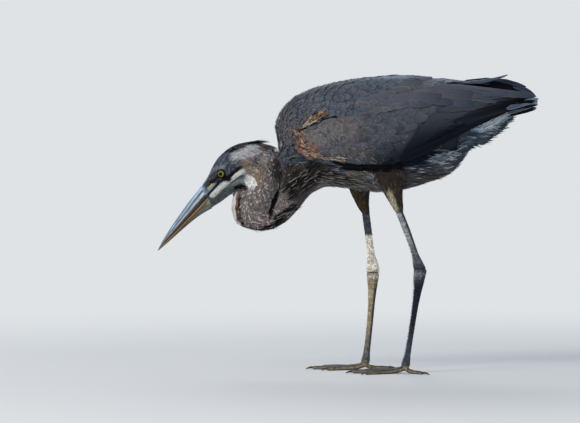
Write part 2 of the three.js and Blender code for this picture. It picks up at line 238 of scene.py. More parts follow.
HEAD_STROKES = strokes_from(from_eye, [
    ("crown front, slate blue", ((-36, -14), (-22, 18), (-5, 38), (10, 46)), 7, 8, "#33415a", 0.85),
    # The forehead's paler slate is partly painted sheen.
    ("forehead, slate", ((-14, 14), (6, 30)), 8, 10, "#525a6c", 0.8),
    ("side of the head, pale", ((25, 29), (44, 40), (64, 48)), 11, 9, "#c2c1c3", 0.95),
    ("crown, black behind", ((6, 42), (20, 47), (34, 53)), 7, 5, "#14171e", 1.0),
    ("black line to the plumes", ((34, 55), (50, 57), (72, 58)), 4, 2.5, "#111318", 1.0),
    ("brow, pale over the lore", ((-34, -17), (-24, 0), (-11, 9), (2, 12)), 2.8, 5, "#a2a8b0", 0.6),
    ("behind the eye, slate", ((12, 10), (28, 21)), 6, 8, "#3d4351", 0.85),
    ("behind the cheek, beige", ((42, 8), (56, 4), (60, -8)), 9, 9, "#9a8973", 0.9),
    ("ear, brown", ((32, 16), (44, 21), (56, 29)), 3.5, 7, "#b5917a", 0.6),
    ("nape, dark", ((68, 46), (80, 46), (92, 42)), 4.5, 5, "#453f3d", 0.8),
    # The chin is white; its grey here and the darker stroke below it are painted shade on its underside.
    ("chin, grey white", ((12, -28), (20, -25), (34, -17)), 8, 7, "#979e98", 0.95),
    ("chin, shade below", ((-30, -60), (0, -37), (16, -29)), 8, 6, "#5f6766", 0.95),
    ("cheek, white", ((-17, -39), (-3, -25), (13, -11.5), (27, -1), (35, 4)), 4.8, 2.5, "#e6e9e3", 1.0),
    ("between cheek and throat patch", ((40, -1), (50, 3)), 3, 6, "#8d877b", 0.8),
    # Painted shade in the fold under the chin.
    ("fold under the chin", ((22, -27), (31, -23), (43, -24)), 3.4, 3, "#131416", 1.0),
    ("throat patch, white", ((48, -11), (52, -15)), 10, 4, "#f8f9f5", 1.0),
    ("lore, black", ((0, -6), (-10, -11), (-19, -19)), 5.6, 2.0, "#08090c", 1.0),
    ("round the eye, black", ((0, -4), (6, -9), (11, -10)), 5.6, 2.0, "#08090c", 1.0),
    ("stripe behind the eye", ((9, -9), (20, 1), (33, 12)), 3.1, 2.0, "#0e1014", 1.0),
    ("bill's base, blue grey", ((-37, -21), (-30, -33)), 3.4, 3, "#7d90a4", 0.9),
    ("bare skin under the lore", ((-14, -19), (-29, -36)), 2.0, 1.6, "#7f8fa0", 0.9),
    ("lore, yellow", ((-18, -19), (-26, -28)), 1.4, 1.2, "#b3ab48", 0.9),
    ("gape, black", ((8, -10), (-3, -13), (-15, -27), (-28, -42)), 1.5, 1.2, "#0e1013", 1.0),
])
print("head:", len(HEAD_STROKES), "strokes")

# %% [markdown]
# The neck is brown grey with a dark nape, and down its front runs a white line with rust and black beside
# it. Body and wing are slate, bluer on the back and nearly black low down, with rust at the bend of the wing
# and whitish frosting on the flank and under the tail. The black in the folds of the neck and under the chin
# is painted shade, the black low on the wing, under the tertials and under the wing's edge is partly painted
# shade, and the paler blue along the back's ridge and the shoulder's front rim is painted sheen.

# %% Markings of the neck, body and wing
NECK_STROKES = strokes_from(from_eye, [
    ("nape, dark", ((70, 46), (84, 43), (96, 38)), 4.5, 5, "#4a4341", 0.75),
    ("nape ridge, pale", ((86, 35), (99, 21), (102, 4)), 8, 9, "#a09ea1", 0.8),
    ("ear, brown", ((38, 17), (54, 25)), 4, 7, "#b0937b", 0.5),
    ("neck top, pale", ((72, 33), (83, 28), (94, 16)), 6, 10, "#98969a", 0.55),
    ("beside the patch, beige", ((58, 4), (66, -8), (64, -26)), 8, 9, "#a08e7a", 0.85),
    ("throat patch, white", ((48, -11), (52, -15)), 10, 4, "#f8f9f5", 1.0),
    # Painted shade in the fold under the chin.
    ("fold under the chin", ((30, -27), (40, -25)), 3.4, 3, "#131416", 1.0),
    ("front of the neck, white", ((24, -34), (19, -50), (21, -80), (29, -93)), 3.4, 2.4, "#f2f1ea", 1.0),
    ("rust beside the front", ((30, -36), (26, -52), (27, -78), (36, -94)), 1.4, 2, "#8a6248", 0.6),
    ("black beside the front", ((33, -38), (31, -56), (32, -78), (42, -95)), 1.2, 2.0, "#2b2523", 0.6),
    ("under the turn, dark", ((32, -99), (60, -105), (90, -101), (112, -90)), 5, 6, "#2a2624", 0.9),
    # The next two strokes are painted shade along the crease where the neck folds onto the shoulder.
    ("neck's edge on the shoulder", ((107, 20), (106, -8), (103, -32)), 1.5, 2.5, "#35322f", 0.85),
    ("fold of the neck, black", ((103, -34), (97, -46), (91, -60), (87, -76)), 3.0, 2.5, "#0c0d0f", 1.0),
    ("breast plumes, black", ((98, -82), (110, -75), (124, -66)), 7, 5, "#19191b", 0.9),
    ("beside the fold, grey", ((104, -24), (106, -50)), 6, 6, "#82807f", 0.6),
    ("shoulder, greyer", ((120, -20), (140, -40), (150, -20)), 16, 20, "#4c4d52", 0.9),
])
NECK_STROKES += strokes_from(from_bend, [
    ("breast, charcoal", ((-20, -34), (0, -50), (34, -42)), 25, 16, "#353232", 0.9),
    ("breast, black below", ((-6, -72), (14, -62), (44, -52)), 8, 10, "#1a191a", 0.85),
])
BODY_STROKES = strokes_from(from_bend, [
    ("breast, brown black", ((-20, -60), (0, -56), (34, -42)), 18, 20, "#353232", 0.9),
    ("shoulder front, brown", ((-22, 10), (-20, 46)), 16, 18, "#67656a", 0.75),
    ("belly, pale band", ((86, -48), (130, -50), (176, -52)), 6, 8, "#8b877e", 0.85),
    ("belly, pale below", ((60, -62), (105, -70), (150, -76)), 7, 8, "#7d7669", 0.75),
    ("belly, dark streak", ((20, -42), (60, -46), (90, -56)), 4, 5, "#1b1817", 0.9),
    ("flank, black blue", ((186, -18), (240, -12), (300, 18)), 20, 14, "#101824", 1.0),
    ("flank, whitish", ((240, -27), (256, -21), (272, -13)), 5, 8, "#6c767d", 0.8),
    ("flank below, grey brown", ((228, -43), (256, -46), (290, -42)), 4.5, 5, "#5d5c59", 0.75),
    ("flank, dark line", ((198, -40), (240, -53), (284, -52)), 2.4, 3, "#171616", 0.9),
    ("belly behind the thigh", ((190, -56), (240, -60), (284, -56)), 7, 6, "#554e46", 0.9),
    ("rump, dark", ((250, 10), (300, 40)), 14, 12, "#151d28", 0.85),
    # The paler blue along the back's ridge is partly painted sheen.
    ("back ridge, blue", ((150, 128), (220, 127), (300, 122)), 9, 14, "#6b778b", 0.9),
    # Painted highlight along the shoulder's front rim.
    ("front rim, pale blue", ((-31, 75), (-36, 30), (-29, -8)), 2.5, 3, "#6c7684", 0.7),
    # Black under the wing's edge, partly black feathers and partly painted shade.
    ("under the wing, black", ((62, -27), (97, -35), (137, -38), (188, -36)), 6, 4, "#0a0d13", 1.0),
])
WING_STROKES = strokes_from(from_bend, [
    ("wing, front brown", ((10, 4), (50, 24), (92, 34)), 22, 24, "#77706f", 0.8),
    ("wing, below the middle", ((70, -8), (120, 0)), 8, 18, "#64646b", 0.85),
    ("bend, rust", ((-2, 4), (1, 14), (7, 24)), 5.0, 8, "#85665a", 0.45),
    ("bend below, rust", ((0, 0), (16, -14), (36, -22)), 4, 6, "#8a6751", 0.6),
    ("middle of the wing, slate", ((150, 26), (220, 44), (300, 74)), 26, 24, "#4f535c", 0.8),
    # Navy of the dark flight feathers, deepened as painted shade low on the wing.
    (
        "low on the wing, navy", ((168, -42), (224, -12), (282, 22), (336, 55), (410, 77)), 37, 50,
        "#0a1019", 0.98,
    ),
    # Painted shade under the tertials.
    ("under the tertials, black", ((330, 74), (370, 83), (430, 86)), 8, 10, "#090c13", 1.0),
    ("wing's top, blue", ((240, 118), (330, 106), (400, 96)), 12, 14, "#48536a", 0.7),
])
VENT_STROKES = strokes_from(from_bend, [
    ("under the tail, shade", ((300, 40), (340, 62), (380, 78)), 6, 8, "#141b24", 0.9),
    ("under the tail, pale", ((330, 33), (358, 47), (384, 66)), 8, 6, "#c8d6e0", 0.95),
    ("ragged edge, blue grey", ((304, 6), (340, 22), (372, 46)), 6, 8, "#5a6b79", 0.7),
])
THIGH_STROKES = strokes_from(from_bend, [
    ("inside of the thigh, brown", ((105, -76), (114, -112)), 16, 6, "#54432a", 0.8),
    ("shin, pale patch", ((170, -80), (180, -108)), 6, 5, "#b9b095", 0.95),
])
STROKES = {
    "head": HEAD_STROKES, "neck": NECK_STROKES, "trunk": BODY_STROKES, "wing": WING_STROKES,
    "vent": VENT_STROKES, "thigh": THIGH_STROKES,
}
print("markings:", sum(len(strokes) for strokes in STROKES.values()), "strokes")

# %% [markdown]
# A stroke could be painted by hand on an unwrapped map, but distance is simpler: the colour at a place
# depends only on how far it is from each stroke's line, seen from the side.


# %% The colour at a place
def gap_to(line, x, z):
    """How far each place is from a bent line in the side view."""
    best = np.full(len(x), 1e9)
    for (x0, z0), (x1, z1) in zip(line[:-1], line[1:]):
        length = (x1 - x0) ** 2 + (z1 - z0) ** 2
        along = np.clip(((x - x0) * (x1 - x0) + (z - z0) * (z1 - z0)) / length, 0, 1)
        best = np.minimum(best, np.hypot(x - x0 - along * (x1 - x0), z - z0 - along * (z1 - z0)))
    return best


def smooth(value, low, high):
    """0 below low, 1 above high, and an even curve between them."""
    share = np.clip((value - low) / (high - low), 0, 1)
    return share * share * (3 - 2 * share)


def line_of(strokes, title):
    """The line of the stroke of that name."""
    return next(line for name, line, *_ in strokes if name == title)


def stroked(colour, mm, strokes):
    """Lays strokes over colours at places in millimetres."""
    for _, line, half, soft, ink, strength in strokes:
        cover = strength * (1 - smooth(gap_to(line, mm[:, 0], mm[:, 2]), half - soft / 2, half + soft / 2))
        colour = colour + cover[:, None] * (to_linear(ink) - colour)
    return colour


def coat_colour(places, part):
    """The marking at each place, in linear colour. part names the part of the body at each place."""
    colour = np.zeros((len(places), 3))
    for name, ground in GROUND.items():
        here = part == name
        plain = np.tile(to_linear(ground), (here.sum(), 1))
        colour[here] = stroked(plain, places[here] / MM, STROKES[name])
    return colour


# %% [markdown]
# Flesh. Ten solids of the frame are skin and coat: head, neck, body, wings and thighs. They are copied as
# bmeshes, and a voxel remesh is the quick way to weld such lofts, which meet at a seam, into one closed
# surface of small even faces. Reading a mesh into arrays makes work on many thousand corners fast.

# %% Copies, welds and arrays
SIDES = {"left": -1, "right": 1}
FLESH = ["head", "neck_upper", "neck_bend", "neck_lower", "trunk", "vent"]
FLESH += ["wing_left", "wing_right", "thigh_left", "thigh_right"]


def part_of(node):
    """The part of the body a solid belongs to, as the markings name it."""
    return node.split("_")[0]


def copy_of(node, grow=0.0):
    """A CAD part as a bmesh with its doubles merged, made thicker all round by grow millimetres."""
    made = bmesh.new()
    made.from_mesh(cad_nodes[node].data)
    bmesh.ops.remove_doubles(made, verts=made.verts, dist=1e-5)
    made.normal_update()
    for vert in made.verts:
        vert.co += vert.normal * grow * MM
    return made


def fused(shapes, voxel, rounds):
    """Closed shapes welded into one mesh of even faces, then relaxed."""
    whole = bmesh.new()
    for shape in shapes:
        piece = bpy.data.meshes.new("piece")
        shape.to_mesh(piece)
        shape.free()
        whole.from_mesh(piece)
        bpy.data.meshes.remove(piece)
    lump = shaped("lump", whole)
    weld = lump.modifiers.new("weld", "REMESH")
    weld.mode, weld.voxel_size = "VOXEL", voxel * MM
    if rounds:
        relax = lump.modifiers.new("relax", "SMOOTH")
        relax.factor, relax.iterations = 0.5, rounds
    made = bpy.data.meshes.new_from_object(lump.evaluated_get(bpy.context.evaluated_depsgraph_get()))
    bpy.data.objects.remove(lump)
    return made


def numbers(items, name, width, kind=np.float64):
    """One property of many mesh items as an array."""
    values = np.empty(len(items) * width, dtype=kind)
    items.foreach_get(name, values)
    return values.reshape(-1, width) if width > 1 else values


def near_tree(places):
    """A tree for finding the nearest of many places."""
    tree = KDTree(len(places))
    for i, place in enumerate(places.tolist()):
        tree.insert(place, i)
    tree.balance()
    return tree


class Surface:
    """A mesh read into arrays, with a tree for finding the nearest place on it."""

    def __init__(self, mesh):
        self.verts = numbers(mesh.vertices, "co", 3)
        self.normals = numbers(mesh.vertices, "normal", 3)
        self.edges = numbers(mesh.edges, "vertices", 2, np.int32)
        self.faces = [tuple(face.vertices) for face in mesh.polygons]
        self.corner = np.array([face if len(face) == 4 else face + face[2:] for face in self.faces])
        self.tree = BVHTree.FromPolygons(self.verts.tolist(), self.faces)
        self.areas = numbers(mesh.polygons, "area", 1)

    def at_faces(self, values):
        """Values at the corners, as the mean of each face's corners."""
        return values[self.corner].mean(axis=1)


def unit(vectors):
    """The same directions with a length of 1."""
    return vectors / np.maximum(np.linalg.norm(vectors, axis=-1, keepdims=True), 1e-12)


def spread(values, edges, rounds):
    """Evens values out between neighbouring corners."""
    ends = np.concatenate([edges, edges[:, ::-1]])
    count = np.maximum(np.bincount(ends[:, 0], minlength=len(values)), 1)
    for _ in range(rounds):
        sums = [np.bincount(ends[:, 0], column[ends[:, 1]], len(values)) for column in values.T]
        values = values + 0.5 * (np.stack(sums, axis=1) / count[:, None] - values)
    return values


print("flesh:", len(FLESH), "solids")

# %% [markdown]
# Where horn meets feathers. The bill grows out of the face along a slanting edge, and the coat reaches a
# little way onto it, so a short stub of the bill belongs to the flesh. The mouth's place and the two
# directions of the bill are used again for the bill itself and for the bare skin round it.

# %% The bill's root
BILL_TOP = np.array(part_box("bill_upper")) / MM
bill_tip = np.array([BILL_TOP[0][0] + 0.2, 0, BILL_TOP[0][2] + 0.1])
mouth = np.array([EYE[0] - 27.1, 0, EYE[2] - 45.3])  # where the gape meets the feathers
bill_length = np.linalg.norm(bill_tip - mouth)
bill_ahead = (bill_tip - mouth) / bill_length
bill_up = np.array([bill_ahead[2], 0, -bill_ahead[0]])
base_up = np.array([-20.0, 0, 40.0]) / math.hypot(20, 40)  # the feathers' edge slants back to the chin
base_ahead = np.array([-base_up[2], 0, base_up[0]])
STUB = 3.5
print("bill", round(bill_length, 1), "mm long")

# %% [markdown]
# The outer surface. The solids of the frame give the bird's outline out to the feather tips, so their
# weld is the guide over which the feathers are laid. It is a guide only, and is never shown.

# %% The guide surface
FOLD = from_eye((108, 34), (108, 8), (107, -2), (105, -28), (99, -42), (88, -66))


def cut_off(shape, place, way):
    """Cuts a closed shape off beyond a plane, keeps the near side, and closes it again."""
    whole = shape.verts[:] + shape.edges[:] + shape.faces[:]
    made = bmesh.ops.bisect_plane(
        shape, geom=whole, plane_co=Vector(place) * MM, plane_no=way, clear_outer=True
    )
    rim = [item for item in made["geom_cut"] if isinstance(item, bmesh.types.BMEdge)]
    bmesh.ops.holes_fill(shape, edges=rim, sides=0)
    return shape


def fold_filling():
    """A little flesh in the fold of the neck, so that no light shows through it."""
    shape = bmesh.new()
    bmesh.ops.create_icosphere(shape, subdivisions=3, radius=11 * MM)
    bmesh.ops.translate(shape, verts=shape.verts, vec=Vector((FOLD[1][0] + 1, 0, FOLD[1][1])) * MM)
    return shape


def flesh(grow, end=None):
    """Copies of all the flesh, with the bill's stubs and the filling of the fold."""
    shapes = [copy_of(node, grow) for node in FLESH]
    if end:
        shapes = [cut_off(shape, (end, 0, 0), (1, 0, 0)) for shape in shapes]
    stubs = [copy_of(node, grow) for node in ("bill_upper", "bill_lower")]
    stubs = [cut_off(stub, mouth + base_ahead * STUB, base_ahead) for stub in stubs]
    return shapes + stubs + [fold_filling()]


cad_verts, cad_faces, cad_owner = [], [], []
for node in FLESH:
    shape = copy_of(node)
    start = len(cad_verts)
    cad_verts += [tuple(vert.co) for vert in shape.verts]
    cad_faces += [[start + vert.index for vert in face.verts] for face in shape.faces]
    cad_owner += [node] * len(shape.faces)
    shape.free()
cad_tree = BVHTree.FromPolygons(cad_verts, cad_faces)


def owners(places):
    """The CAD part nearest to each place."""
    return np.array([cad_owner[cad_tree.find_nearest(place)[2]] for place in places.tolist()])


GUIDE_VOXEL = 3.0
guide_mesh = fused(flesh(0.5), GUIDE_VOXEL, 3)
guide = Surface(guide_mesh)
guide_owner = owners(guide.verts)
guide_part = np.array([part_of(node) for node in guide_owner])
print("guide:", len(guide.faces), "faces")

# %% [markdown]
# The lie of the coat. Feathers point away from the bill. On the head and neck they run along the fold of
# the neck, so ribs are set across it, each from the throat side to the nape side, and the lie at a
# place is the way from one rib to the next. On the body they point to the tail, on the wings to the
# wing tip, and on the thighs down. The directions are laid on the guide and then evened out.

# %% The lie of the feathers
RIBS = [
    ((-16, -61), (-36, -21)), ((3, -48), (-25, -4)), ((22, -33), (-11, 23)), ((35, -21), (8, 42)),
    ((39, -20), (37, 55)), ((40, -22), (67, 54)), ((39, -26), (91, 46)), ((35, -29), (106, 25)),
    ((28, -32), (107, -3)), ((18, -45), (103, -28)), ((17, -67), (95, -46)), ((25, -89), (89, -61)),
    ((47, -100), (85, -70)), ((75, -103), (87, -72)), ((101, -95), (87, -70)), ((122, -81), (94, -54)),
    ((142, -59), (103, -30)), ((161, -36), (108, -3)), ((191, -22), (121, 27)),
]
RIB_SPAN = {"head": (0, 5), "neck_upper": (3, 10), "neck_bend": (9, 15), "neck_lower": (13, 18)}
STEPS_BETWEEN, STEPS_ACROSS = 6, 12
rib_low = np.array([from_eye(low)[0] for low, _ in RIBS])
rib_high = np.array([from_eye(high)[0] for _, high in RIBS])


def rib_flow(first, last):
    """Places on the ribs from first to last, and the way the coat lies at each, in the side view."""
    at = np.linspace(first, last, (last - first) * STEPS_BETWEEN + 1)
    ids = np.arange(len(RIBS))
    share = np.linspace(-0.1, 1.1, STEPS_ACROSS)[None, :, None]
    low = np.stack([np.interp(at, ids, rib_low[:, k]) for k in (0, 1)], axis=1)[:, None]
    high = np.stack([np.interp(at, ids, rib_high[:, k]) for k in (0, 1)], axis=1)[:, None]
    place = low + (high - low) * share
    return place.reshape(-1, 2), np.gradient(place, axis=0).reshape(-1, 2)


def lie_at(places, owner):
    """The way the coat lies at each place, before it is bent onto the surface."""
    way = np.tile([1.0, 0.0, 0.05], (len(places), 1))
    mm = places / MM
    for node, (first, last) in RIB_SPAN.items():
        spots, flow = rib_flow(first, last)
        tree = near_tree(np.insert(spots, 1, 0, axis=1))
        for i in np.flatnonzero(owner == node):
            found = tree.find((mm[i, 0], 0, mm[i, 2]))[1]
            way[i] = (flow[found, 0], 0, flow[found, 1])
    neck_root = np.array([BEND[0] - 14, 0, BEND[2] - 50])
    off = mm - neck_root  # round the neck's root the coat parts, so it also points away from there
    far = np.linalg.norm(off, axis=1, keepdims=True)
    away = unit(off) * np.exp(-far / 60) * 1.6
    way[owner == "trunk"] = (unit(way) + away)[owner == "trunk"]
    winged = np.isin(owner, ["wing_left", "wing_right"])
    way[winged] = (WING_TIP - mm)[winged] * (1, 0.6, 1)
    way[np.isin(owner, ["thigh_left", "thigh_right"])] = (0.22, 0, -1)
    return unit(way)


def onto(vectors, normals):
    """Vectors bent onto the surface."""
    return unit(vectors - (vectors * normals).sum(axis=1, keepdims=True) * normals)


APART = {frozenset(pair) for pair in [
    ("head", "neck_bend"), ("head", "neck_lower"), ("head", "trunk"), ("neck_upper", "neck_lower"),
    ("neck_upper", "trunk"), ("neck_bend", "trunk"), ("head", "wing_left"), ("head", "wing_right"),
]}
ends = guide_owner[guide.edges]
joined = np.array([frozenset(pair) not in APART for pair in ends.tolist()])
lie = onto(lie_at(guide.verts, guide_owner), guide.normals)
for _ in range(4):
    lie = onto(spread(lie, guide.edges[joined], 3), guide.normals)
even_normals = unit(spread(guide.normals, guide.edges[joined], 3))
face_lie = unit(guide.at_faces(lie))
face_up = unit(guide.at_faces(even_normals))
face_owner = guide_owner[guide.corner[:, 0]]
face_part = guide_part[guide.corner[:, 0]]
face_middle = guide.at_faces(guide.verts)
print("lie laid on", len(lie), "corners")

# %% [markdown]
# The skin. It is one closed surface for head, neck, body, wings, thighs and legs, and it lies inside the
# solids by the depth of the coat: a millimetre or two on the face and most of a centimetre on the body.
# The legs have no coat, so their skin keeps the solids' size and carries the scales. The legs are welded
# apart, with smaller faces for the scales, and run up into the thighs.

# %% Skin of the body
COAT_DEPTH = {"head": 1.5, "neck": 4.5, "trunk": 7.0, "wing": 5.5, "vent": 6.0, "thigh": 3.0}
SKIN_VOXEL = 2.5
SKIN_END = WING_TIP[0] - 128  # behind this the folded wings are only feathers

FACE_SHAPE = [  # a line, how far it is raised in millimetres, and how wide
    (from_eye((-12, 1), (-3, 9), (9, 9)), 1.1, 2.6),
    (from_eye((-7, -8), (-16, -17), (-26, -29)), -1.5, 3.2),
    (from_eye((-22, -40), (-4, -22), (18, -8)), 0.8, 3.5),
    (from_eye((0, 0), (0.1, 0)), -1.6, 7.0),
]


def face_shaped(places, normals):
    """The brow, the hollow before the eye, the cheek and the eye's socket."""
    x, y, z = (places / MM).T
    raised = sum(up * np.exp(-((gap_to(line, x, z) / wide) ** 2)) for line, up, wide in FACE_SHAPE)
    facing = np.abs(normals[:, 1])
    on_a_side = np.abs(y) > 6
    return places + normals * (raised * facing * on_a_side)[:, None] * MM


def inset(mesh, depths):
    """Moves a mesh's corners in, each by its own depth in millimetres."""
    places = numbers(mesh.vertices, "co", 3) - numbers(mesh.vertices, "normal", 3) * depths[:, None] * MM
    mesh.vertices.foreach_set("co", places.ravel())
    mesh.update()


body = fused(flesh(0.5, SKIN_END), SKIN_VOXEL, 4)
body_surface = Surface(body)
body_part = np.array([part_of(node) for node in owners(body_surface.verts)])
depth = np.array([COAT_DEPTH[part] for part in body_part])
depth = spread(depth[:, None], body_surface.edges, 12)[:, 0]
fold_gap = gap_to(FOLD, body_surface.verts[:, 0] / MM, body_surface.verts[:, 2] / MM)
depth *= 0.15 + 0.85 * smooth(fold_gap, 3, 16)  # kept thick there, so the fold stays closed
depth *= smooth((mouth - body_surface.verts / MM) @ base_ahead, -2, 10)  # and at the bill, where it is bare
inset(body, depth)
shape = bmesh.new()
shape.from_mesh(body)
body = fused([shape], SKIN_VOXEL, 3)
print("body skin:", len(body.polygons), "faces")

# %% [markdown]
# The head's skin needs finer faces than the body's for the lids and the gape, so its faces are divided
# once. The eyes' sockets and the brows are small moves along the normals, strongest on the sides. A weld
# of thinned shapes can leave crumbs, so only the largest connected piece is kept.

# %% Finer skin on the head
shape = bmesh.new()
shape.from_mesh(body)
HEAD_END, HEAD_FLOOR = (EYE[0] + 50) * MM, 300 * MM
on_head = {vert for vert in shape.verts if vert.co.x < HEAD_END and vert.co.z > HEAD_FLOOR}
fine = [edge for edge in shape.edges if on_head.issuperset(edge.verts)]
bmesh.ops.subdivide_edges(shape, edges=fine, cuts=1, use_grid_fill=True)
front = [vert for vert in shape.verts if vert.co.x < HEAD_END]
for _ in range(3):
    bmesh.ops.smooth_vert(shape, verts=front, factor=0.5, use_axis_x=True, use_axis_y=True, use_axis_z=True)
islands = []
unseen = set(shape.verts)
while unseen:
    island, reached = [], [unseen.pop()]
    while reached:
        vert = reached.pop()
        island.append(vert)
        for edge in vert.link_edges:
            other = edge.other_vert(vert)
            if other in unseen:
                unseen.remove(other)
                reached.append(other)
    islands.append(island)
islands.sort(key=len)
for island in islands[:-1]:
    bmesh.ops.delete(shape, geom=island, context="VERTS")
shape.to_mesh(body)
shape.free()
places = face_shaped(numbers(body.vertices, "co", 3), numbers(body.vertices, "normal", 3))
body.vertices.foreach_set("co", places.ravel())
body.update()
print("kept the largest of", len(islands), "islands;", len(body.polygons), "faces")

# %% [markdown]
# A heron's legs are covered in horny scales: a row of wide plates down the front of each segment and
# along the top of each toe, and a net of small ones round the rest. The plates are pressed into the
# mesh, each a shallow groove across the front, and the net is left to the finish.

# %% Skin of the legs
TOES = ["inner", "middle", "outer", "hind"]
LEG_NODES = [
    node for side in SIDES
    for node in [f"shank_{side}", f"tarsus_{side}"] + [f"toe_{side}_{toe}" for toe in TOES]
]
LEG_VOXEL = 1.23
HOCK_DROP = 11  # how much lower the right ankle is, as that leg is bent more
# Each ankle crease is a groove, and its dark line in the leg's colour is painted shade.
HOCK_CREASES = [(187.5, 0.95), (183.5, 0.35), (172, 0.4), (166.5, 0.3)]  # height, and how deep and dark
PLATE_PITCH = {"shank": 6.0, "tarsus": 6.0, "toe": 4.0}  # one plate to the next, in millimetres
GROOVE_WIDTH, PLATE_GROOVE = 0.13, 0.5  # as a share of the pitch, and how deep in millimetres
WRINKLE_PITCH, WRINKLE_REACH, CREASE_WIDTH = 3.4, 9, 1.1  # the folded skin of the ankle


def noise_of(places):
    """Smooth noise from -1 to 1, for rough skin."""
    return np.array([noise.noise(place) for place in places.tolist()])


leg_trees = {}
for node in LEG_NODES:
    shape = copy_of(node)
    leg_trees[node] = BVHTree.FromBMesh(shape)
    shape.free()
legs = fused([copy_of(node, 0.35) for node in LEG_NODES], LEG_VOXEL, 4)
leg_places = numbers(legs.vertices, "co", 3)
leg_normals = numbers(legs.vertices, "normal", 3)
reach = [[tree.find_nearest(place)[3] for tree in leg_trees.values()] for place in leg_places.tolist()]
leg_owner = np.array(LEG_NODES)[np.argmin(reach, axis=1)]
pressed = np.zeros(len(leg_places))
for node in LEG_NODES:
    here = leg_owner == node
    corners = numbers(cad_nodes[node].data.vertices, "co", 3)
    axis = np.linalg.svd(corners - corners.mean(axis=0), full_matrices=False)[2][0]
    kind = part_of(node)
    front = np.array([0, 0, 1.0]) if kind == "toe" else np.array([-1.0, 0, 0])
    along = (leg_places[here] @ axis) / MM / PLATE_PITCH[kind]
    edge = np.abs(along - np.round(along))
    pressed[here] = np.exp(-((edge / GROOVE_WIDTH) ** 2)) * smooth(leg_normals[here] @ front, 0.2, 0.7)
HOCK = {side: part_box(f"tarsus_{side}")[1][2] for side in SIDES}
for side, sign in SIDES.items():
    above_hock = (leg_places[:, 2] - HOCK[side]) / MM / WRINKLE_REACH
    near_hock = np.exp(-(above_hock**2)) * (leg_places[:, 1] * sign > 0)
    wrinkle = np.cos(leg_places[:, 2] / MM / WRINKLE_PITCH * 2 * math.pi) ** 8
    pressed = np.maximum(pressed, near_hock * wrinkle * 1.6)
leg_level = leg_places[:, 2] / MM + HOCK_DROP * (leg_places[:, 1] > 0)
for crease, deep in HOCK_CREASES:
    off = (leg_level - crease) / CREASE_WIDTH
    pressed = np.maximum(pressed, 1.8 * deep * np.exp(-(off**2)))
rough = noise_of(leg_places / MM / 2.2)
pressed += 0.9 * rough * smooth(leg_places[:, 2] / MM, 140, 175)
inset(legs, pressed * PLATE_GROOVE)
print("leg skin:", len(legs.polygons), "faces")

# %% [markdown]
# The colour of the legs is laid as thin washes, each with its own cover from 0 to 1. What matters is
# which way the skin faces and how high it is: outside or inside, front or back, near the foot or not.


# %% Colours of the legs
def leg_colour(places, normals):
    """Slate outside with a painted highlight down the front edge, cream grey on the shank, buff inside,
    greyer at the foot.
    """
    x, y, z = (places / MM).T
    level = z + HOCK_DROP * (y > 0)
    inner = smooth(-np.sign(y) * normals[:, 1], -0.2, 0.4)
    outer = 1 - inner
    back = smooth(normals[:, 0], 0.1, 0.6)
    front = outer * smooth(-normals[:, 0], 0.55, 0.82)
    colour = np.tile(to_linear("#0f1424"), (len(places), 1))

    def lay(ink, cover):
        colour[:] += cover[:, None] * (to_linear(ink) - colour)

    lay("#9b9d9e", 0.95 * outer * (1 - back) * smooth(z, 205, 240))
    lay("#5c6168", 0.8 * outer * smooth(z, 188, 200) * (1 - smooth(z, 215, 245)))
    lay("#80868b", 0.85 * outer * (1 - 0.6 * back) * np.exp(-(((z - 178) / 10) ** 2)))
    lay("#a3967a", inner * (1 - 0.5 * back))
    lay("#20242d", 0.9 * inner * back * (1 - smooth(level, 150, 178)))
    # The inner shank's pale cream is buff made paler as painted light.
    lay("#ebe3d1", inner * smooth(level, 172, 190))
    # Painted shadow of the body, grey at the top of the inner shank.
    lay("#454a52", inner * smooth(z, 241, 247))
    lay("#4c535e", 0.75 * (1 - smooth(z, 20, 100)))
    # Painted highlight down the front edges of tarsus and shank.
    lay("#d8dce2", 0.95 * front * smooth(z, 18, 50) * (1 - smooth(z, 150, 185)))
    lay("#b9bbbb", 0.6 * front * smooth(z, 190, 215))
    lay("#363b41", 0.7 * smooth(normals[:, 2], 0.1, 0.7) * (z < 14))
    lay("#a38c58", 0.7 * (1 - smooth(np.abs(normals[:, 2]), 0.25, 0.6)) * (z < 12))
    # Painted shade in the creases of the ankle.
    for crease, deep in HOCK_CREASES:
        line = np.exp(-(((level - crease) / 1.6) ** 2))
        lay("#0b0c10", deep * line * (1 - smooth(normals[:, 0], 0.5, 0.8)))
    return colour


# %% [markdown]
# Lids. Each eye sits in a ring of bare dark skin that hugs the ball. A ring could be a torus, but a lid
# is thin at its free edge and sinks into the face, so its section is drawn and spun about the eye.

# %% Lids
EYE_RADIUS = (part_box("eye_left")[1][2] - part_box("eye_left")[0][2]) / 2 / MM
IRIS, PUPIL = 5.6, 3.2
LID_SECTION = [(5.5, 0.1), (5.7, 0.75), (6.6, 1.0), (7.6, 0.9), (8.8, 0.0), (8.4, -1.6), (6.4, -0.5)]
eye_middle = {side: middle_of(f"eye_{side}") for side in SIDES}
eye_ahead = {}
for side, sign in SIDES.items():
    up = guide.tree.find_nearest(eye_middle[side] + Vector((0, sign * 8, 0)) * MM)[1]
    eye_ahead[side] = (up * 0.5 + Vector((0, sign * 1.2, 0.02))).normalized()


def turned_to(side):
    """The matrix that carries a shape made about +Z to an eye, looking out of the head."""
    turn = eye_ahead[side].to_track_quat("Z", "Y").to_matrix().to_4x4()
    turn.translation = eye_middle[side]
    return turn


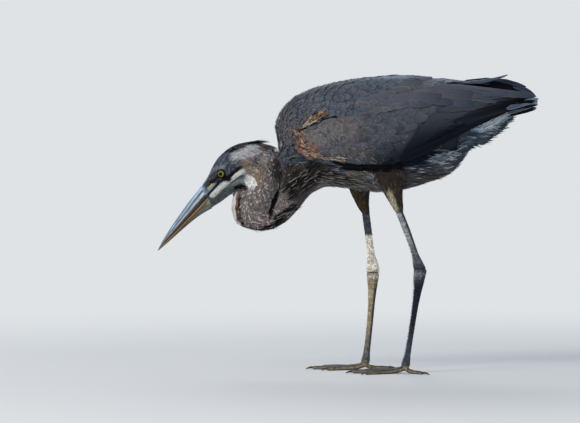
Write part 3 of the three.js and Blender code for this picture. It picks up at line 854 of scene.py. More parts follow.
def lid(side):
    """A ring of skin round one eye, spun from its section."""
    shape = bmesh.new()
    section = [
        shape.verts.new((r * MM, 0, (math.sqrt(max(EYE_RADIUS**2 - r * r, 0)) + off) * MM))
        for r, off in LID_SECTION
    ]
    ring = [shape.edges.new((a, b)) for a, b in zip(section, section[1:] + section[:1])]
    bmesh.ops.spin(
        shape, geom=section + ring, cent=(0, 0, 0), axis=(0, 0, 1),
        angle=2 * math.pi, steps=40, use_merge=True, use_duplicate=False,
    )
    bmesh.ops.remove_doubles(shape, verts=shape.verts, dist=1e-6)
    bmesh.ops.recalc_face_normals(shape, faces=shape.faces)
    bmesh.ops.transform(shape, matrix=turned_to(side), verts=shape.verts)
    return shape


print("eye radius", round(EYE_RADIUS, 2), "mm, looking", [round(v, 2) for v in eye_ahead["left"]])

# %% [markdown]
# Body, legs and lids become one mesh, one skin for the whole bird. Each corner carries its own colour and
# whether it is on a leg. The skin also gets a flat map for baking, cut into patches by Smart UV Project, as
# seams drawn by hand would be lost under the coat.

# %% One skin
whole = bmesh.new()
counts = []
for piece in [body, legs]:
    whole.from_mesh(piece)
    counts.append(len(whole.verts))
for side in SIDES:
    shape = lid(side)
    piece = bpy.data.meshes.new("lid")
    shape.to_mesh(piece)
    shape.free()
    whole.from_mesh(piece)
skin = shaped("skin", whole)
skin.data.shade_smooth()
skin_verts = numbers(skin.data.vertices, "co", 3)
skin_normals = numbers(skin.data.vertices, "normal", 3)
skin_part = np.full(len(skin_verts), "head", dtype="<U8")
skin_part[: counts[0]] = [part_of(node) for node in owners(skin_verts[: counts[0]])]
skin_tint = coat_colour(skin_verts, skin_part)
on_legs = slice(counts[0], counts[1])
skin_tint[on_legs] = leg_colour(skin_verts[on_legs], skin_normals[on_legs])
skin_tint[counts[1] :] = to_linear("#0c0e12")
scaly = np.zeros((len(skin_verts), 3))
scaly[on_legs] = 1


def paint(mesh, name, colours):
    """Stores a colour for each corner of a mesh."""
    layer = mesh.color_attributes.new(name, "FLOAT_COLOR", "POINT")
    layer.data.foreach_set("color", np.column_stack([colours, np.ones(len(colours))]).ravel())


def mapped(mesh, name, spots):
    """Stores a place on a flat map for each corner of a mesh."""
    corners = numbers(mesh.loops, "vertex_index", 1, np.int32)
    mesh.uv_layers.new(name=name).data.foreach_set("uv", spots[corners].ravel())


paint(skin.data, "Tint", skin_tint)
paint(skin.data, "Scaly", scaly)

bpy.context.view_layer.objects.active = skin
skin.select_set(True)
bpy.ops.object.mode_set(mode="EDIT")
bpy.ops.mesh.select_all(action="SELECT")
bpy.ops.uv.smart_project(angle_limit=math.radians(66), island_margin=0.002)
bpy.ops.object.mode_set(mode="OBJECT")
skin.select_set(False)
skin.data.uv_layers[0].name = "OFBake"
print("skin:", len(skin.data.polygons), "faces")

# %% [markdown]
# Living skin. On the legs it is horn-like: dull, with a net of small raised scales about 2.6 mm across,
# drawn at 3.6 mm so that they show, each of its own tone and darker in the joints between them. On the
# body it only shows as the dark ground between feathers, and in front of the eye it is smooth and bare.
# The net is a Voronoi pattern's cell borders.


# %% Finish of the skin
def tone(tree, colour, factor, low, high):
    """A colour made darker or paler by a factor that runs from 0 to 1."""
    scale = add_node(tree, "MapRange", i0=factor, i3=low, i4=high)
    return add_node(tree, "VectorMath", {"operation": "SCALE"}, i0=colour, Scale=scale)


SCALE_MM, PORE_MM = 3.6, 0.8
bare_skin, tree = new_finish("scaled leg skin")
where = add_node(tree, "TexCoord").outputs["Object"]
net = add_node(
    tree, "TexVoronoi", {"feature": "DISTANCE_TO_EDGE"}, Vector=where, Scale=1 / (SCALE_MM * MM)
).outputs["Distance"]
net = add_node(tree, "MapRange", SMOOTHLY, i0=net, i1=0.0, i2=0.16)
leg_share = add_node(tree, "Attribute", {"attribute_name": "Scaly"})
elsewhere = add_node(tree, "Math", {"operation": "SUBTRACT"}, i0=1.0, i1=leg_share)
net = add_node(tree, "Math", {"operation": "MAXIMUM"}, i0=net, i1=elsewhere)
mottle = add_node(tree, "TexNoise", Vector=where, Scale=1 / (9 * MM), Detail=4.0)
cell = add_node(tree, "TexVoronoi", Vector=where, Scale=1 / (SCALE_MM * MM)).outputs["Color"]
cell = add_node(tree, "SeparateXYZ", Vector=cell)
cell = add_node(tree, "Mix", i0=leg_share, i2=0.5, i3=cell)
tint = tone(tree, add_node(tree, "Attribute", {"attribute_name": "Tint"}), mottle, 0.72, 1.28)
tint = tone(tree, tint, cell, 0.55, 1.45)
tint = tone(tree, tint, net, 0.62, 1.12)
pores = add_node(tree, "TexNoise", Vector=where, Scale=1 / (PORE_MM * MM), Detail=2.0)
height = add_node(tree, "Math", {"operation": "MULTIPLY_ADD"}, i0=pores, i1=0.25, i2=net)
bump = add_node(tree, "Bump", Height=height, Distance=0.35 * MM, Strength=0.8)
shader = add_node(
    tree, "BsdfPrincipled", Base_Color=tint, Roughness=0.5, Normal=bump, Specular_IOR_Level=0.2
)
add_node(tree, "OutputMaterial", Surface=shader)
skin.data.materials.append(bare_skin)
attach(skin, "root")
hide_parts(*[node for node in FLESH if not node.startswith("wing")], *LEG_NODES)

# %% [markdown]
# The bill. A heron's bill is a straight dagger in two halves, horn over bone. The upper half has a ridge
# on top, a long groove with the slit nostril in it, and a sharp cutting edge; the lower half is a plain
# keel. The frame's bill could be smoothed, but its facets would show, so each half is lofted anew from
# rings: at each ring a ray into the frame's solid measures its height and half width.

# %% Rings of the bill
BILL_RINGS, RING_CORNERS, MEASURES = 47, 32, 9
TUCKED = 3  # the first rings run back under the edge of the feathers
print("each half of the bill:", BILL_RINGS, "rings of", RING_CORNERS, "corners")


def ring_up(share):
    """The upward direction of the ring at a share of the way to the tip."""
    return unit(base_up + (bill_up - base_up) * smooth(share, 0.0, 0.3))


def measured(node, sign):
    """Height and half width of one half of the frame's bill, as smooth functions of the way along."""
    shape = copy_of(node)
    solid = BVHTree.FromBMesh(shape)
    shape.free()
    shares, sizes = [1.0], [(0.45, 0.6)]
    for share in np.linspace(0.06, 0.92, MEASURES):
        off = 0.8 * (1 - share) + 0.2
        start = mouth + bill_ahead * bill_length * share + sign * off * ring_up(share)
        high = solid.ray_cast(Vector(start * MM), Vector(sign * ring_up(share)))
        wide = solid.ray_cast(Vector(start * MM), Vector((0, 1, 0)))
        if high[3] and wide[3]:
            shares.append(share)
            sizes.append((high[3] / MM + off, wide[3] / MM))
    sizes = np.array(sizes)
    print(node, "measured at", len(shares), "places, deepest", sizes.max(axis=0).round(1))
    fits = [np.polyfit(shares, sizes[:, k], 3) for k in (0, 1)]
    return lambda share: [max(float(np.polyval(fit, share)), 0.35) for fit in fits]


def upper_section(share, turn, high, half):
    """A corner of the upper half's ring: turn runs from one cutting edge over the ridge to the other."""
    across, rise = math.cos(turn), math.sin(turn)
    ridge = 1 - 0.22 * rise**6
    level = abs(rise) ** 0.85
    groove = 0.95 * math.exp(-(((level - 0.6) / 0.13) ** 2)) * (1 - smooth(share, 0.1, 0.62))
    nostril = 0.8 * math.exp(-(((level - 0.6) / 0.07) ** 2)) * math.exp(-(((share - 0.13) / 0.045) ** 2))
    width = half * abs(across) ** 0.9 * ridge - (groove + nostril) * min(1, abs(across) * 2)
    return math.copysign(max(width, 0), across), high * level


def lower_section(share, turn, high, half):
    """A corner of the lower half's ring, which has no ridge and a shallower groove."""
    across, rise = math.cos(turn), math.sin(turn)
    groove = 0.5 * math.exp(-(((rise - 0.45) / 0.16) ** 2)) * (1 - smooth(share, 0.3, 0.8))
    width = half * abs(across) ** 0.85 - groove * min(1, abs(across) * 2)
    return math.copysign(max(width, 0), across), -high * abs(rise) ** 0.95


def bill_half(node, sign, section):
    """Lofts one half of the bill through rings, each a circle bent to its section."""
    size_at = measured(node, sign)
    shape = bmesh.new()
    rings = []
    for i in range(BILL_RINGS):
        share = (max(i - TUCKED, 0) / (BILL_RINGS - 1 - TUCKED)) ** 0.9
        back = max(TUCKED - i, 0)
        centre = mouth + bill_ahead * (bill_length * share * 0.999 - back * 2.2)
        high, half = np.array(size_at(share)) * (1 - 0.06 * back)
        made = bmesh.ops.create_circle(shape, segments=RING_CORNERS, radius=1.0)["verts"]
        arch = RING_CORNERS * 3 // 4
        for k, vert in enumerate(made):
            if k <= arch:
                y, up = section(share, math.pi * k / arch, high, half)
            else:
                y = half * (-1 + 2 * (k - arch) / (RING_CORNERS - arch))
                up = sign * 0.25 * (1 - (y / half) ** 2)
            place = centre + ring_up(share) * (up + sign * 0.03)
            vert.co = Vector((place[0], y, place[2])) * MM
        rings.append(made)
    for near, far in zip(rings[:-1], rings[1:]):
        sides = [(ring[k - 1], ring[k]) for ring in (near, far) for k in range(RING_CORNERS)]
        loops = [shape.edges.get(ends) for ends in sides]
        bmesh.ops.bridge_loops(shape, edges=loops)
    bmesh.ops.holes_fill(shape, edges=[edge for edge in shape.edges if edge.is_boundary], sides=0)
    bmesh.ops.recalc_face_normals(shape, faces=shape.faces)
    return shape, size_at


# %% [markdown]
# Horn. The sheath is keratin: smooth, a little glossy, with fine growth lines along its length. Its colours
# run in bands along the bill, so they are laid by how far along and how high up a corner is: pale blue-grey
# above, nearly black over the cutting edge, and orange yellow below, browner at the base. The two palest
# bands of the upper half, one below the groove and one above it, are painted highlights, and the brown along
# the middle of the lower half's side is partly painted shade.

# %% The bill's colours and finish
# Each band: its height from the cutting edge to the ridge, then its colours at base, middle and tip.
# The pale bands at 0.41 to 0.5 and at 0.78 are painted highlights.
UPPER_BANDS = [
    (0.0, "#131218", "#141219", "#1a181d"), (0.22, "#1b1b23", "#2a2833", "#1d1b22"),
    (0.34, "#2b2d38", "#45444f", "#26242c"), (0.41, "#a3b2c1", "#98a3b0", "#4a4a55"),
    (0.5, "#c2cfdb", "#b3bfcb", "#63646f"), (0.56, "#39434f", "#6a7684", "#3a3a45"),
    (0.62, "#10151d", "#39424f", "#2e2e38"), (0.68, "#55718f", "#4f6681", "#4c5564"),
    (0.78, "#b3c6d8", "#8ea5bb", "#8695a6"), (0.9, "#7d9bb9", "#5b7796", "#6a7b90"),
    (1.0, "#324a66", "#2b3e59", "#343f50"),
]
# The browns of the middle column below the orange edge are partly painted shade.
LOWER_BANDS = [
    (0.0, "#86692f", "#d0901a", "#cf8c12"), (0.12, "#5e4b2b", "#b57e1b", "#c98a12"),
    (0.22, "#33241e", "#51371b", "#c08213"), (0.34, "#6d4a3a", "#5d4724", "#a87315"),
    (0.46, "#66655a", "#5b461f", "#8e6113"), (0.7, "#666b66", "#4f4430", "#724e15"),
    (1.0, "#5c615d", "#4a4539", "#543f18"),
]


def band_colour(bands, height, share):
    """The colour of the horn at each height and share of the way to the tip."""
    levels, *columns = zip(*bands)
    steps = []
    for column in columns:
        inks = np.array([to_linear(ink) for ink in column])
        steps.append(np.stack([np.interp(height, levels, inks[:, c]) for c in range(3)], axis=1))
    first, second = smooth(share, 0, 0.45)[:, None], smooth(share, 0.5, 1)[:, None]
    return steps[0] * (1 - first) + steps[1] * first * (1 - second) + steps[2] * second


def streaked_horn(name, roughness):
    """Horn with fine growth lines along it, read from the bill's own map."""
    made, tree = new_finish(name)
    grain = add_node(tree, "UVMap", {"uv_map": "Grain"})
    fine = add_node(tree, "Mapping", Vector=grain, Scale=(9.0, 26.0, 1.0))
    lines = add_node(tree, "TexNoise", Vector=fine, Scale=1.0, Detail=4.0)
    lines = add_node(tree, "MapRange", i0=lines, i1=0.35, i2=0.65)
    tint = tone(tree, add_node(tree, "Attribute", {"attribute_name": "Tint"}), lines, 0.45, 1.6)
    bump = add_node(tree, "Bump", Height=lines, Distance=0.12 * MM, Strength=0.5)
    shader = add_node(
        tree, "BsdfPrincipled", Base_Color=tint, Roughness=roughness, Normal=bump, IOR=1.54
    )
    add_node(tree, "OutputMaterial", Surface=shader)
    return made


horn = streaked_horn("bill horn", 0.36)
for name, node, sign, section, bands in [
    ("upper_bill", "bill_upper", 1, upper_section, UPPER_BANDS),
    ("lower_bill", "bill_lower", -1, lower_section, LOWER_BANDS),
]:
    shape, size_at = bill_half(node, sign, section)
    bill = shaped(name, shape)
    bill.data.shade_smooth()
    places = numbers(bill.data.vertices, "co", 3) / MM - mouth
    share = np.clip(places @ bill_ahead / bill_length, 0, 1)
    highest = np.array([size_at(s)[0] for s in share])
    height = np.clip(sign * (places @ bill_up) / highest, 0, 1)
    ink = band_colour(bands, height, share)
    if name == "lower_bill":
        spot = 0.8 * np.exp(-((share / 0.06) ** 2) - ((height - 0.3) / 0.16) ** 2)[:, None]
        ink += spot * (to_linear("#99a24a") - ink)
    paint(bill.data, "Tint", ink)
    mapped(bill.data, "Grain", np.column_stack([share, np.arctan2(places[:, 1], height * 8) / math.pi]))
    bill.data.materials.append(horn)
    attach(bill, "root")
    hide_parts(node)
    print(name, len(bill.data.polygons), "faces")

# %% [markdown]
# The eyes. A taxidermist's glass eye is a painted iris under a clear dome. Here the ball is one mesh that
# bulges over the iris, painted by its distance from the middle of the eye, and a clear coat gives the
# wet shine. A true clear dome would need two shells, and at this size the eye would look the same.

# %% Eyes
glass_eye, tree = new_finish("glass eye")
rays = add_node(tree, "UVMap", {"uv_map": "Iris"})
out = add_node(tree, "SeparateXYZ", Vector=rays)
ramp = add_node(tree, "ValToRGB", Fac=out)
RINGS = [
    (0.0, "#030303"), (PUPIL - 0.12, "#030303"), (PUPIL + 0.15, "#4a4112"), (PUPIL + 0.9, "#857920"),
    (IRIS - 0.9, "#a69932"), (IRIS - 0.3, "#4c4315"), (IRIS + 0.1, "#0f0d0a"), (IRIS + 0.5, "#0a0908"),
]
for i, (radius, _) in enumerate(RINGS):
    stop = ramp.color_ramp.elements[i] if i < 2 else ramp.color_ramp.elements.new(0.5)
    stop.position = radius / 10
for stop, (radius, ink) in zip(sorted(ramp.color_ramp.elements, key=lambda e: e.position), RINGS):
    stop.color = (*to_linear(ink), 1)
threads = add_node(tree, "Mapping", Vector=rays, Scale=(4.0, 30.0, 1.0))
threads = add_node(tree, "TexNoise", Vector=threads, Scale=1.0, Detail=3.0)
tint = tone(tree, ramp.outputs["Color"], threads, 0.6, 1.4)
shader = add_node(
    tree, "BsdfPrincipled", Base_Color=tint, Roughness=0.4, Specular_IOR_Level=0.1,
    Coat_Weight=0.12, Coat_Roughness=0.02,
)
add_node(tree, "OutputMaterial", Surface=shader)

DOME_RISE = 0.7
for side in SIDES:
    shape = bmesh.new()
    bmesh.ops.create_uvsphere(shape, u_segments=48, v_segments=40, radius=EYE_RADIUS * MM)
    eye = shaped(f"glass_eye_{side}", shape)
    places = numbers(eye.data.vertices, "co", 3) / MM
    radius = np.hypot(places[:, 0], places[:, 1])
    ahead = places[:, 2] > 0
    places[:, 2] += DOME_RISE * ahead * (1 - smooth(radius, 1.5, IRIS + 0.6))
    turn = np.arctan2(places[:, 1], places[:, 0]) / math.tau
    mapped(eye.data, "Iris", np.column_stack([np.where(ahead, radius, 10) / 10, turn]))
    eye.data.vertices.foreach_set("co", (places * MM).ravel())
    eye.data.transform(turned_to(side))
    eye.data.shade_smooth()
    eye.data.materials.append(glass_eye)
    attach(eye, "root")
    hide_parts(f"eye_{side}")
    print(eye.name, len(eye.data.polygons), "faces")

# %% [markdown]
# Claws. Each is a small curved sheath of black horn. The frame's claws have the right place and hook but
# flat facets, so each is copied, its doubles merged, and rounded with Subdivision Surface.

# %% Claws
black_horn, tree = new_finish("black claw horn")
where = add_node(tree, "TexCoord").outputs["Object"]
wear = add_node(tree, "TexNoise", Vector=where, Scale=1 / (2.5 * MM), Detail=4.0)
tint = add_node(tree, "RGB")
tint.outputs[0].default_value = (*to_linear("#26231f"), 1)
tint = tone(tree, tint, wear, 0.5, 1.9)
bump = add_node(tree, "Bump", Height=wear, Distance=0.1 * MM, Strength=0.6)
shader = add_node(tree, "BsdfPrincipled", Base_Color=tint, Roughness=0.32, Normal=bump)
add_node(tree, "OutputMaterial", Surface=shader)
for side in SIDES:
    for toe in TOES:
        claw = shaped(f"horn_claw_{side}_{toe}", copy_of(f"claw_{side}_{toe}", 0.25))
        claw.data.shade_smooth()
        rounded = claw.modifiers.new("rounded", "SUBSURF")
        rounded.levels = rounded.render_levels = 2
        claw.data.materials.append(black_horn)
        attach(claw, "root")
        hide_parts(f"claw_{side}_{toe}")
    print("claws on the", side, "foot:", len(TOES))

# %% [markdown]
# How a feather is made. A contour feather is a shaft with a thin vane on each side, arched across and
# bent along the body. One could be modelled and copied, but then every copy is stiff. Here each feather
# starts as a root on the guide and a middle line that is walked over the guide in short steps: it heads
# down the lie, sinks back to the surface as far as a shaft would bend, and runs on straight past an edge.

# %% Roots and middle lines
SECTIONS = 6  # steps in a middle line
BENDS = 0.35  # how far a line can turn towards the surface in one step, as a share of the step


def scattered(where, spacing):
    """Random but even roots on the guide's faces where where is true, spacing millimetres apart."""
    faces = np.flatnonzero(where)
    apart = np.broadcast_to(spacing, len(guide.faces))[faces] * MM
    weight = guide.areas[faces] / apart**2
    count = int(weight.sum() * 5)  # many more than can stay, so that no gap is left
    picked = chance.choice(len(faces), count, p=weight / weight.sum())
    apart, picked = apart[picked] * 0.85, faces[picked]
    right, ahead = chance.random((2, count, 1))
    a, b, c, d = (guide.verts[guide.corner[picked, k]] for k in range(4))
    places = (a * (1 - right) + b * right) * (1 - ahead) + (d * (1 - right) + c * right) * ahead
    tree = near_tree(places)
    free, kept = bytearray(b"\x01") * count, []
    for i, place in enumerate(places.tolist()):
        if free[i]:
            kept.append(i)
            for _, j, _ in tree.find_range(place, apart[i]):
                free[j] = 0
    return places[kept], picked[kept]


def flow_on(faces, yaw):
    """The lie at some faces of the guide, turned by each feather's own small yaw."""
    return face_lie[faces] * np.cos(yaw) + np.cross(face_up[faces], face_lie[faces]) * np.sin(yaw)


def walked(places, faces, length, yaw):
    """Each feather's middle line from its root over the guide, and which way is up along it."""
    step = length[:, None] / SECTIONS * MM
    at, up, way = places, face_up[faces], flow_on(faces, yaw)
    line, ups = [at], [up]
    for _ in range(SECTIONS):
        ahead = at + way * step
        found = [guide.tree.find_nearest(place) for place in ahead.tolist()]
        pull = np.array([hit[0][:] for hit in found]) - ahead
        face = np.array([hit[2] for hit in found])
        gap = np.maximum(np.linalg.norm(pull, axis=1, keepdims=True), 1e-9)
        facing = (face_up[face] * up).sum(axis=1, keepdims=True) > 0.2
        ahead = ahead + pull * np.minimum(1, BENDS * step / gap) * facing
        near = facing * np.exp(-((gap / (4 * MM)) ** 2))
        up = unit(up + 0.6 * near * (face_up[face] - up))
        way = unit(ahead - at)
        way = onto(way + 0.5 * near * (flow_on(face, yaw) - way), up)
        at = ahead
        line.append(at)
        ups.append(up)
    return np.stack(line, axis=1), np.stack(ups, axis=1)


# %% [markdown]
# The vane is a closed lens: an arched top of three to five corners across and a flat underside, in rows
# that are close together at the tip, where the outline turns. The tip lies on the guide and the root is
# sunk to the skin, so each feather lies over the root of the next one, as tiles do. Roots near the tail
# are covered by tips from nearer the head. A feather's colours, its size in millimetres and its place on
# the skin's map are stored with it, so that thousands can share one mesh and one finish.

# %% Vanes
VANE_SHAPES = {  # corners across, how far along each row is, and its share of the half width
    "tuft": (3, [0.1, 0.5, 0.84], [0.7, 1.0, 0.5]),
    "lance": (3, [0.08, 0.3, 0.6, 0.86], [0.6, 1.0, 0.78, 0.34]),
    "round": (5, [0.05, 0.25, 0.55, 0.8, 0.94], [0.45, 0.86, 1.0, 0.84, 0.5]),
    "blade": (5, [0.03, 0.14, 0.4, 0.68, 0.86, 0.96], [0.4, 0.8, 0.95, 1.0, 0.78, 0.42]),
}
skin_tree = BVHTree.FromPolygons(skin_verts.tolist(), [tuple(face.vertices) for face in skin.data.polygons])
skin_map = numbers(skin.data.uv_layers["OFBake"].data, "uv", 2)
skin_first = numbers(skin.data.polygons, "loop_start", 1, np.int32)
PATCH = 0.003  # a feather's patch on the skin's map
print("shapes of vane:", list(VANE_SHAPES))


def on_skin_map(places):
    """Each root's place on the skin's map."""
    return skin_map[skin_first[[skin_tree.find_nearest(place)[2] for place in places.tolist()]]]


def vanes(line, ups, half, shape, sunk, arch=0.2, roll=0.0, inks=None, fringe=None):
    """Arrays for many feathers of one shape. inks are the colours at root and tip, fringe at the edge."""
    across, rows, widths = VANE_SHAPES[shape]
    rows, widths = np.array(rows), np.array(widths)
    count, sections = len(line), line.shape[1] - 1
    at = np.concatenate([[0], rows, [1]]) * sections
    first = np.minimum(at.astype(int), sections - 1)
    share = (at - first)[None, :, None]
    centre = line[:, first] * (1 - share) + line[:, first + 1] * share
    up = unit(ups[:, first] * (1 - share) + ups[:, first + 1] * share)
    along = unit(np.gradient(centre, axis=1))
    side = unit(np.cross(up, along))
    up = np.cross(along, side)
    tilt = np.broadcast_to(roll, count)[:, None, None]
    side, up = side * np.cos(tilt) + up * np.sin(tilt), up * np.cos(tilt) - side * np.sin(tilt)
    sunk = np.broadcast_to(sunk, count)[:, None, None] * (1 - at / sections)[None, :, None] * MM
    centre = centre - up * sunk
    off = np.linspace(-1, 1, across)
    wide = half[:, None] * widths * MM
    sideways = side[:, 1:-1, None] * (wide[:, :, None] * off)[..., None]
    arched = up[:, 1:-1, None] * (arch * wide[:, :, None] * (1 - off**2))[..., None]
    rings = (centre[:, 1:-1, None] + sideways + arched).reshape(count, -1, 3)
    corners = np.concatenate([centre[:, :1], rings, centre[:, -1:]], axis=1)
    grid = 1 + np.arange(len(rows) * across).reshape(len(rows), across)
    beside = np.roll(grid, -1, axis=1)
    quads = np.stack([grid[:-1], grid[1:], beside[1:], beside[:-1]], axis=-1).reshape(-1, 4)
    last = corners.shape[1] - 1
    roots = np.stack([np.zeros(across, int), grid[0], beside[0]], axis=-1)
    tips = np.stack([np.full(across, last), beside[-1], grid[-1]], axis=-1)
    spot = np.array([(0.5, 0), *[(0.5 + x / 2, row) for row in rows for x in off], (0.5, 1)])
    change = smooth(spot[:, 1], 0.4, 0.95)[None, :, None]
    tint = inks[0][:, None] * (1 - change) + inks[1][:, None] * change
    edge = np.broadcast_to((tint if fringe is None else fringe[:, None]), tint.shape)
    length = np.linalg.norm(np.diff(line, axis=1), axis=2).sum(axis=1) / MM
    size = np.column_stack([length, half, chance.random(count)])[:, None].repeat(last + 1, axis=1)
    patch = on_skin_map(line[:, 0])[:, None] + (spot - 0.5)[None] * PATCH
    return {
        "corners": corners, "quads": quads, "caps": np.concatenate([roots, tips]),
        "tint": tint, "edge": edge, "size": size, "patch": patch, "spot": spot,
    }


# %% [markdown]
# Thousands of separate objects would be slow, so each tract is one mesh. Its corners and faces are put
# together as arrays, which is much faster than adding them one by one.


# %% Joining vanes
def joined_vanes(name, groups, finish, slot, *stands_for):
    """One closed mesh from many groups of vanes, painted, mapped and riding on the bird."""
    corners, quads, caps, count = [], [], [], 0
    for group in groups:
        n, each = group["corners"].shape[:2]
        start = count + np.arange(n)[:, None, None] * each
        quads.append((group["quads"][None] + start).reshape(-1, 4))
        caps.append((group["caps"][None] + start).reshape(-1, 3))
        corners.append(group["corners"].reshape(-1, 3))
        count += n * each
    quads, caps = np.concatenate(quads), np.concatenate(caps)
    loops = np.concatenate([quads.ravel(), caps.ravel()]).astype(np.int32)
    starts = np.concatenate([np.arange(len(quads)) * 4, len(quads) * 4 + np.arange(len(caps)) * 3])
    mesh = bpy.data.meshes.new(name)
    mesh.vertices.add(count)
    mesh.vertices.foreach_set("co", np.concatenate(corners).ravel())
    mesh.loops.add(len(loops))
    mesh.loops.foreach_set("vertex_index", loops)
    mesh.polygons.add(len(starts))
    mesh.polygons.foreach_set("loop_start", starts.astype(np.int32))
    mesh.update(calc_edges=True)

    def gathered(key):
        parts = []
        for group in groups:
            size = (*group["corners"].shape[:2], group[key].shape[-1])
            parts.append(np.broadcast_to(group[key], size).reshape(-1, size[-1]))
        return np.concatenate(parts)

    for key in ("tint", "edge", "size"):
        paint(mesh, key.capitalize(), gathered(key))
    for map_name, key in (("OFBake", "patch"), ("Vane", "spot")):
        mapped(mesh, map_name, gathered(key))
    mesh.shade_smooth()
    mesh.set_sharp_from_angle(angle=math.radians(50))
    mesh.materials.append(finish)
    piece = placed(name, mesh)
    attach(piece, "root")
    if stands_for:
        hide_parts(*stands_for)
    feathers = sum(len(group["corners"]) for group in groups)
    print(name, feathers, "feathers,", len(quads) * 2 + len(caps), "triangles")


# %% [markdown]
# Feather finishes. Keratin vanes are matt with a faint sheen, since the barbs scatter light along them.
# The shaft shows as a fine line. Barbs leave the shaft at a slant, 0.5 mm apart on the real bird and
# drawn twice as coarse here, so that they show. Many wing feathers have a fringe of another colour, so
# the edge's colour is mixed in towards the outline, which the vane's own map gives.


# %% Finish of the feathers
BARB_MM = 1.0
TIMES, TIMES_PLUS = {"operation": "MULTIPLY"}, {"operation": "MULTIPLY_ADD"}


def feather_finish(name, fringe_width, contrast, roughness, gloss):
    """A matt vane. fringe_width is the edge's share of the vane, contrast how much the barbs differ."""
    made, tree = new_finish(name)
    vane_map = add_node(tree, "UVMap", {"uv_map": "Vane"})
    spot = add_node(tree, "SeparateXYZ", Vector=vane_map).outputs
    tint, edge, size = [
        add_node(tree, "Attribute", {"attribute_name": key}) for key in ("Tint", "Edge", "Size")
    ]
    size = add_node(tree, "SeparateXYZ", Vector=size).outputs
    from_shaft = add_node(tree, "Math", TIMES_PLUS, i0=spot[0], i1=2.0, i2=-1.0)
    across = add_node(tree, "Math", {"operation": "ABSOLUTE"}, i0=from_shaft)
    to_tip = add_node(tree, "Math", TIMES_PLUS, i0=spot[1], i1=2.2, i2=-1.2)
    rim = add_node(tree, "Math", {"operation": "MAXIMUM"}, i0=across, i1=to_tip)
    rim = add_node(tree, "MapRange", SMOOTHLY, i0=rim, i1=1 - fringe_width, i2=0.97)
    along = add_node(tree, "Math", TIMES, i0=spot[1], i1=size[0])
    slant = add_node(tree, "Math", TIMES, i0=across, i1=size[1])
    barb = add_node(tree, "Math", {"operation": "SUBTRACT"}, i0=along, i1=slant)
    seed = add_node(tree, "Math", TIMES, i0=size[2], i1=97.0)
    barb = add_node(tree, "Math", {"operation": "DIVIDE"}, i0=barb, i1=BARB_MM)
    place = add_node(tree, "CombineXYZ", X=barb, Y=slant, Z=seed)
    barbs = add_node(tree, "TexNoise", Vector=place, Scale=1.0, Detail=2.0)
    shaft = add_node(tree, "MapRange", i0=slant, i1=0.15, i2=0.5, i3=0.75, i4=1.0)
    mixed = add_node(tree, "Mix", {"data_type": "RGBA"}, i0=rim, i6=tint, i7=edge).outputs[2]
    tint = tone(tree, mixed, barbs, 1 - contrast, 1 + contrast)
    tint = tone(tree, tint, shaft, 0.0, 1.0)
    bump = add_node(tree, "Bump", Height=barbs, Distance=0.2 * MM, Strength=0.5)
    shader = add_node(
        tree, "BsdfPrincipled", Base_Color=tint, Roughness=roughness, Normal=bump,
        Sheen_Weight=0.01, Sheen_Roughness=0.5, Specular_IOR_Level=gloss,
    )
    add_node(tree, "OutputMaterial", Surface=shader)
    return made


soft_down = feather_finish("soft neck feather", 0.3, 0.6, 0.75, 0.08)
contour = feather_finish("slate contour feather", 0.26, 0.65, 0.62, 0.1)
flight = feather_finish("stiff flight feather", 0.16, 0.45, 0.5, 0.05)
print("finishes:", [m.name for m in (soft_down, contour, flight)])

# %% [markdown]
# Tracts. Feathers grow in tracts, each with its own length, width and spacing. A tract is named by the
# part of the guide it covers and by values that may change from place to place. Neighbours are never
# alike on a living bird, so length, yaw, roll and darkness vary a little, and a share of the feathers
# has a tip of another colour: the flecks of the neck and the frosting of the flank.


# %% A tract of feathers
def valued(value, mm):
    """A number, or a function of the places in millimetres, as one number for each place."""
    return np.broadcast_to(value(mm) if callable(value) else value, len(mm)).astype(float)


def varied(ink, amount):
    """Colours made darker or paler at random, and a touch warmer or cooler."""
    light = 1 + amount * chance.standard_normal((len(ink), 1))
    warm = 1 + 0.25 * amount * chance.standard_normal((len(ink), 1)) * np.array([1, 0, -1])
    return np.clip(ink * np.clip(light, 0.5, 1.6) * warm, 0.001, 1)


def flecked(ink, mm, flecks):
    """Gives a share of the tips another colour. A fleck has a share, a colour and a strength."""
    draw = chance.random(len(ink))
    floor_of = np.zeros(len(ink))
    for share, colour, strength in flecks:
        share = valued(share, mm)
        hit = (draw >= floor_of) & (draw < floor_of + share)
        ink[hit] += strength * (to_linear(colour) - ink[hit])
        floor_of += share
    return ink


def tract(
    where, spacing, length, half, shape, sunk, yaw, vary, roll=5, arch=0.25, tip=1.0, flecks=(), loose=0,
):
    """Feathers of one kind over the guide's faces where where is true. Sizes are in millimetres."""
    places, faces = scattered(where, spacing)
    mm = places / MM
    count = len(places)
    length = valued(length, mm) * (1 + 0.12 * chance.standard_normal(count))
    half = valued(half, mm) * (1 + 0.08 * chance.standard_normal(count))
    turn = np.radians(yaw) * chance.standard_normal((count, 1))
    line, ups = walked(places, faces, length, turn)
    lifted = valued(loose, mm)[:, None, None] * np.abs(chance.standard_normal((count, 1, 1))) * MM
    line = line + ups * lifted * np.linspace(0, 1, SECTIONS + 1)[None, :, None] ** 2
    parts = face_part[faces]
    base = coat_colour(places, parts)
    shade = varied(np.concatenate([base, base]), vary)[:count]
    end = coat_colour(line[:, 4], parts) * shade / np.maximum(base, 1e-4) * tip
    end = np.clip(end, 0.001, 1)
    edge = flecked(end.copy(), mm, flecks)
    tilt = np.radians(roll) * chance.standard_normal(count)
    middle = end if shape == "round" else edge  # a broad feather is flecked only along its edge
    return vanes(line, ups, half, shape, valued(sunk, mm), arch, tilt, (shade, middle), edge)


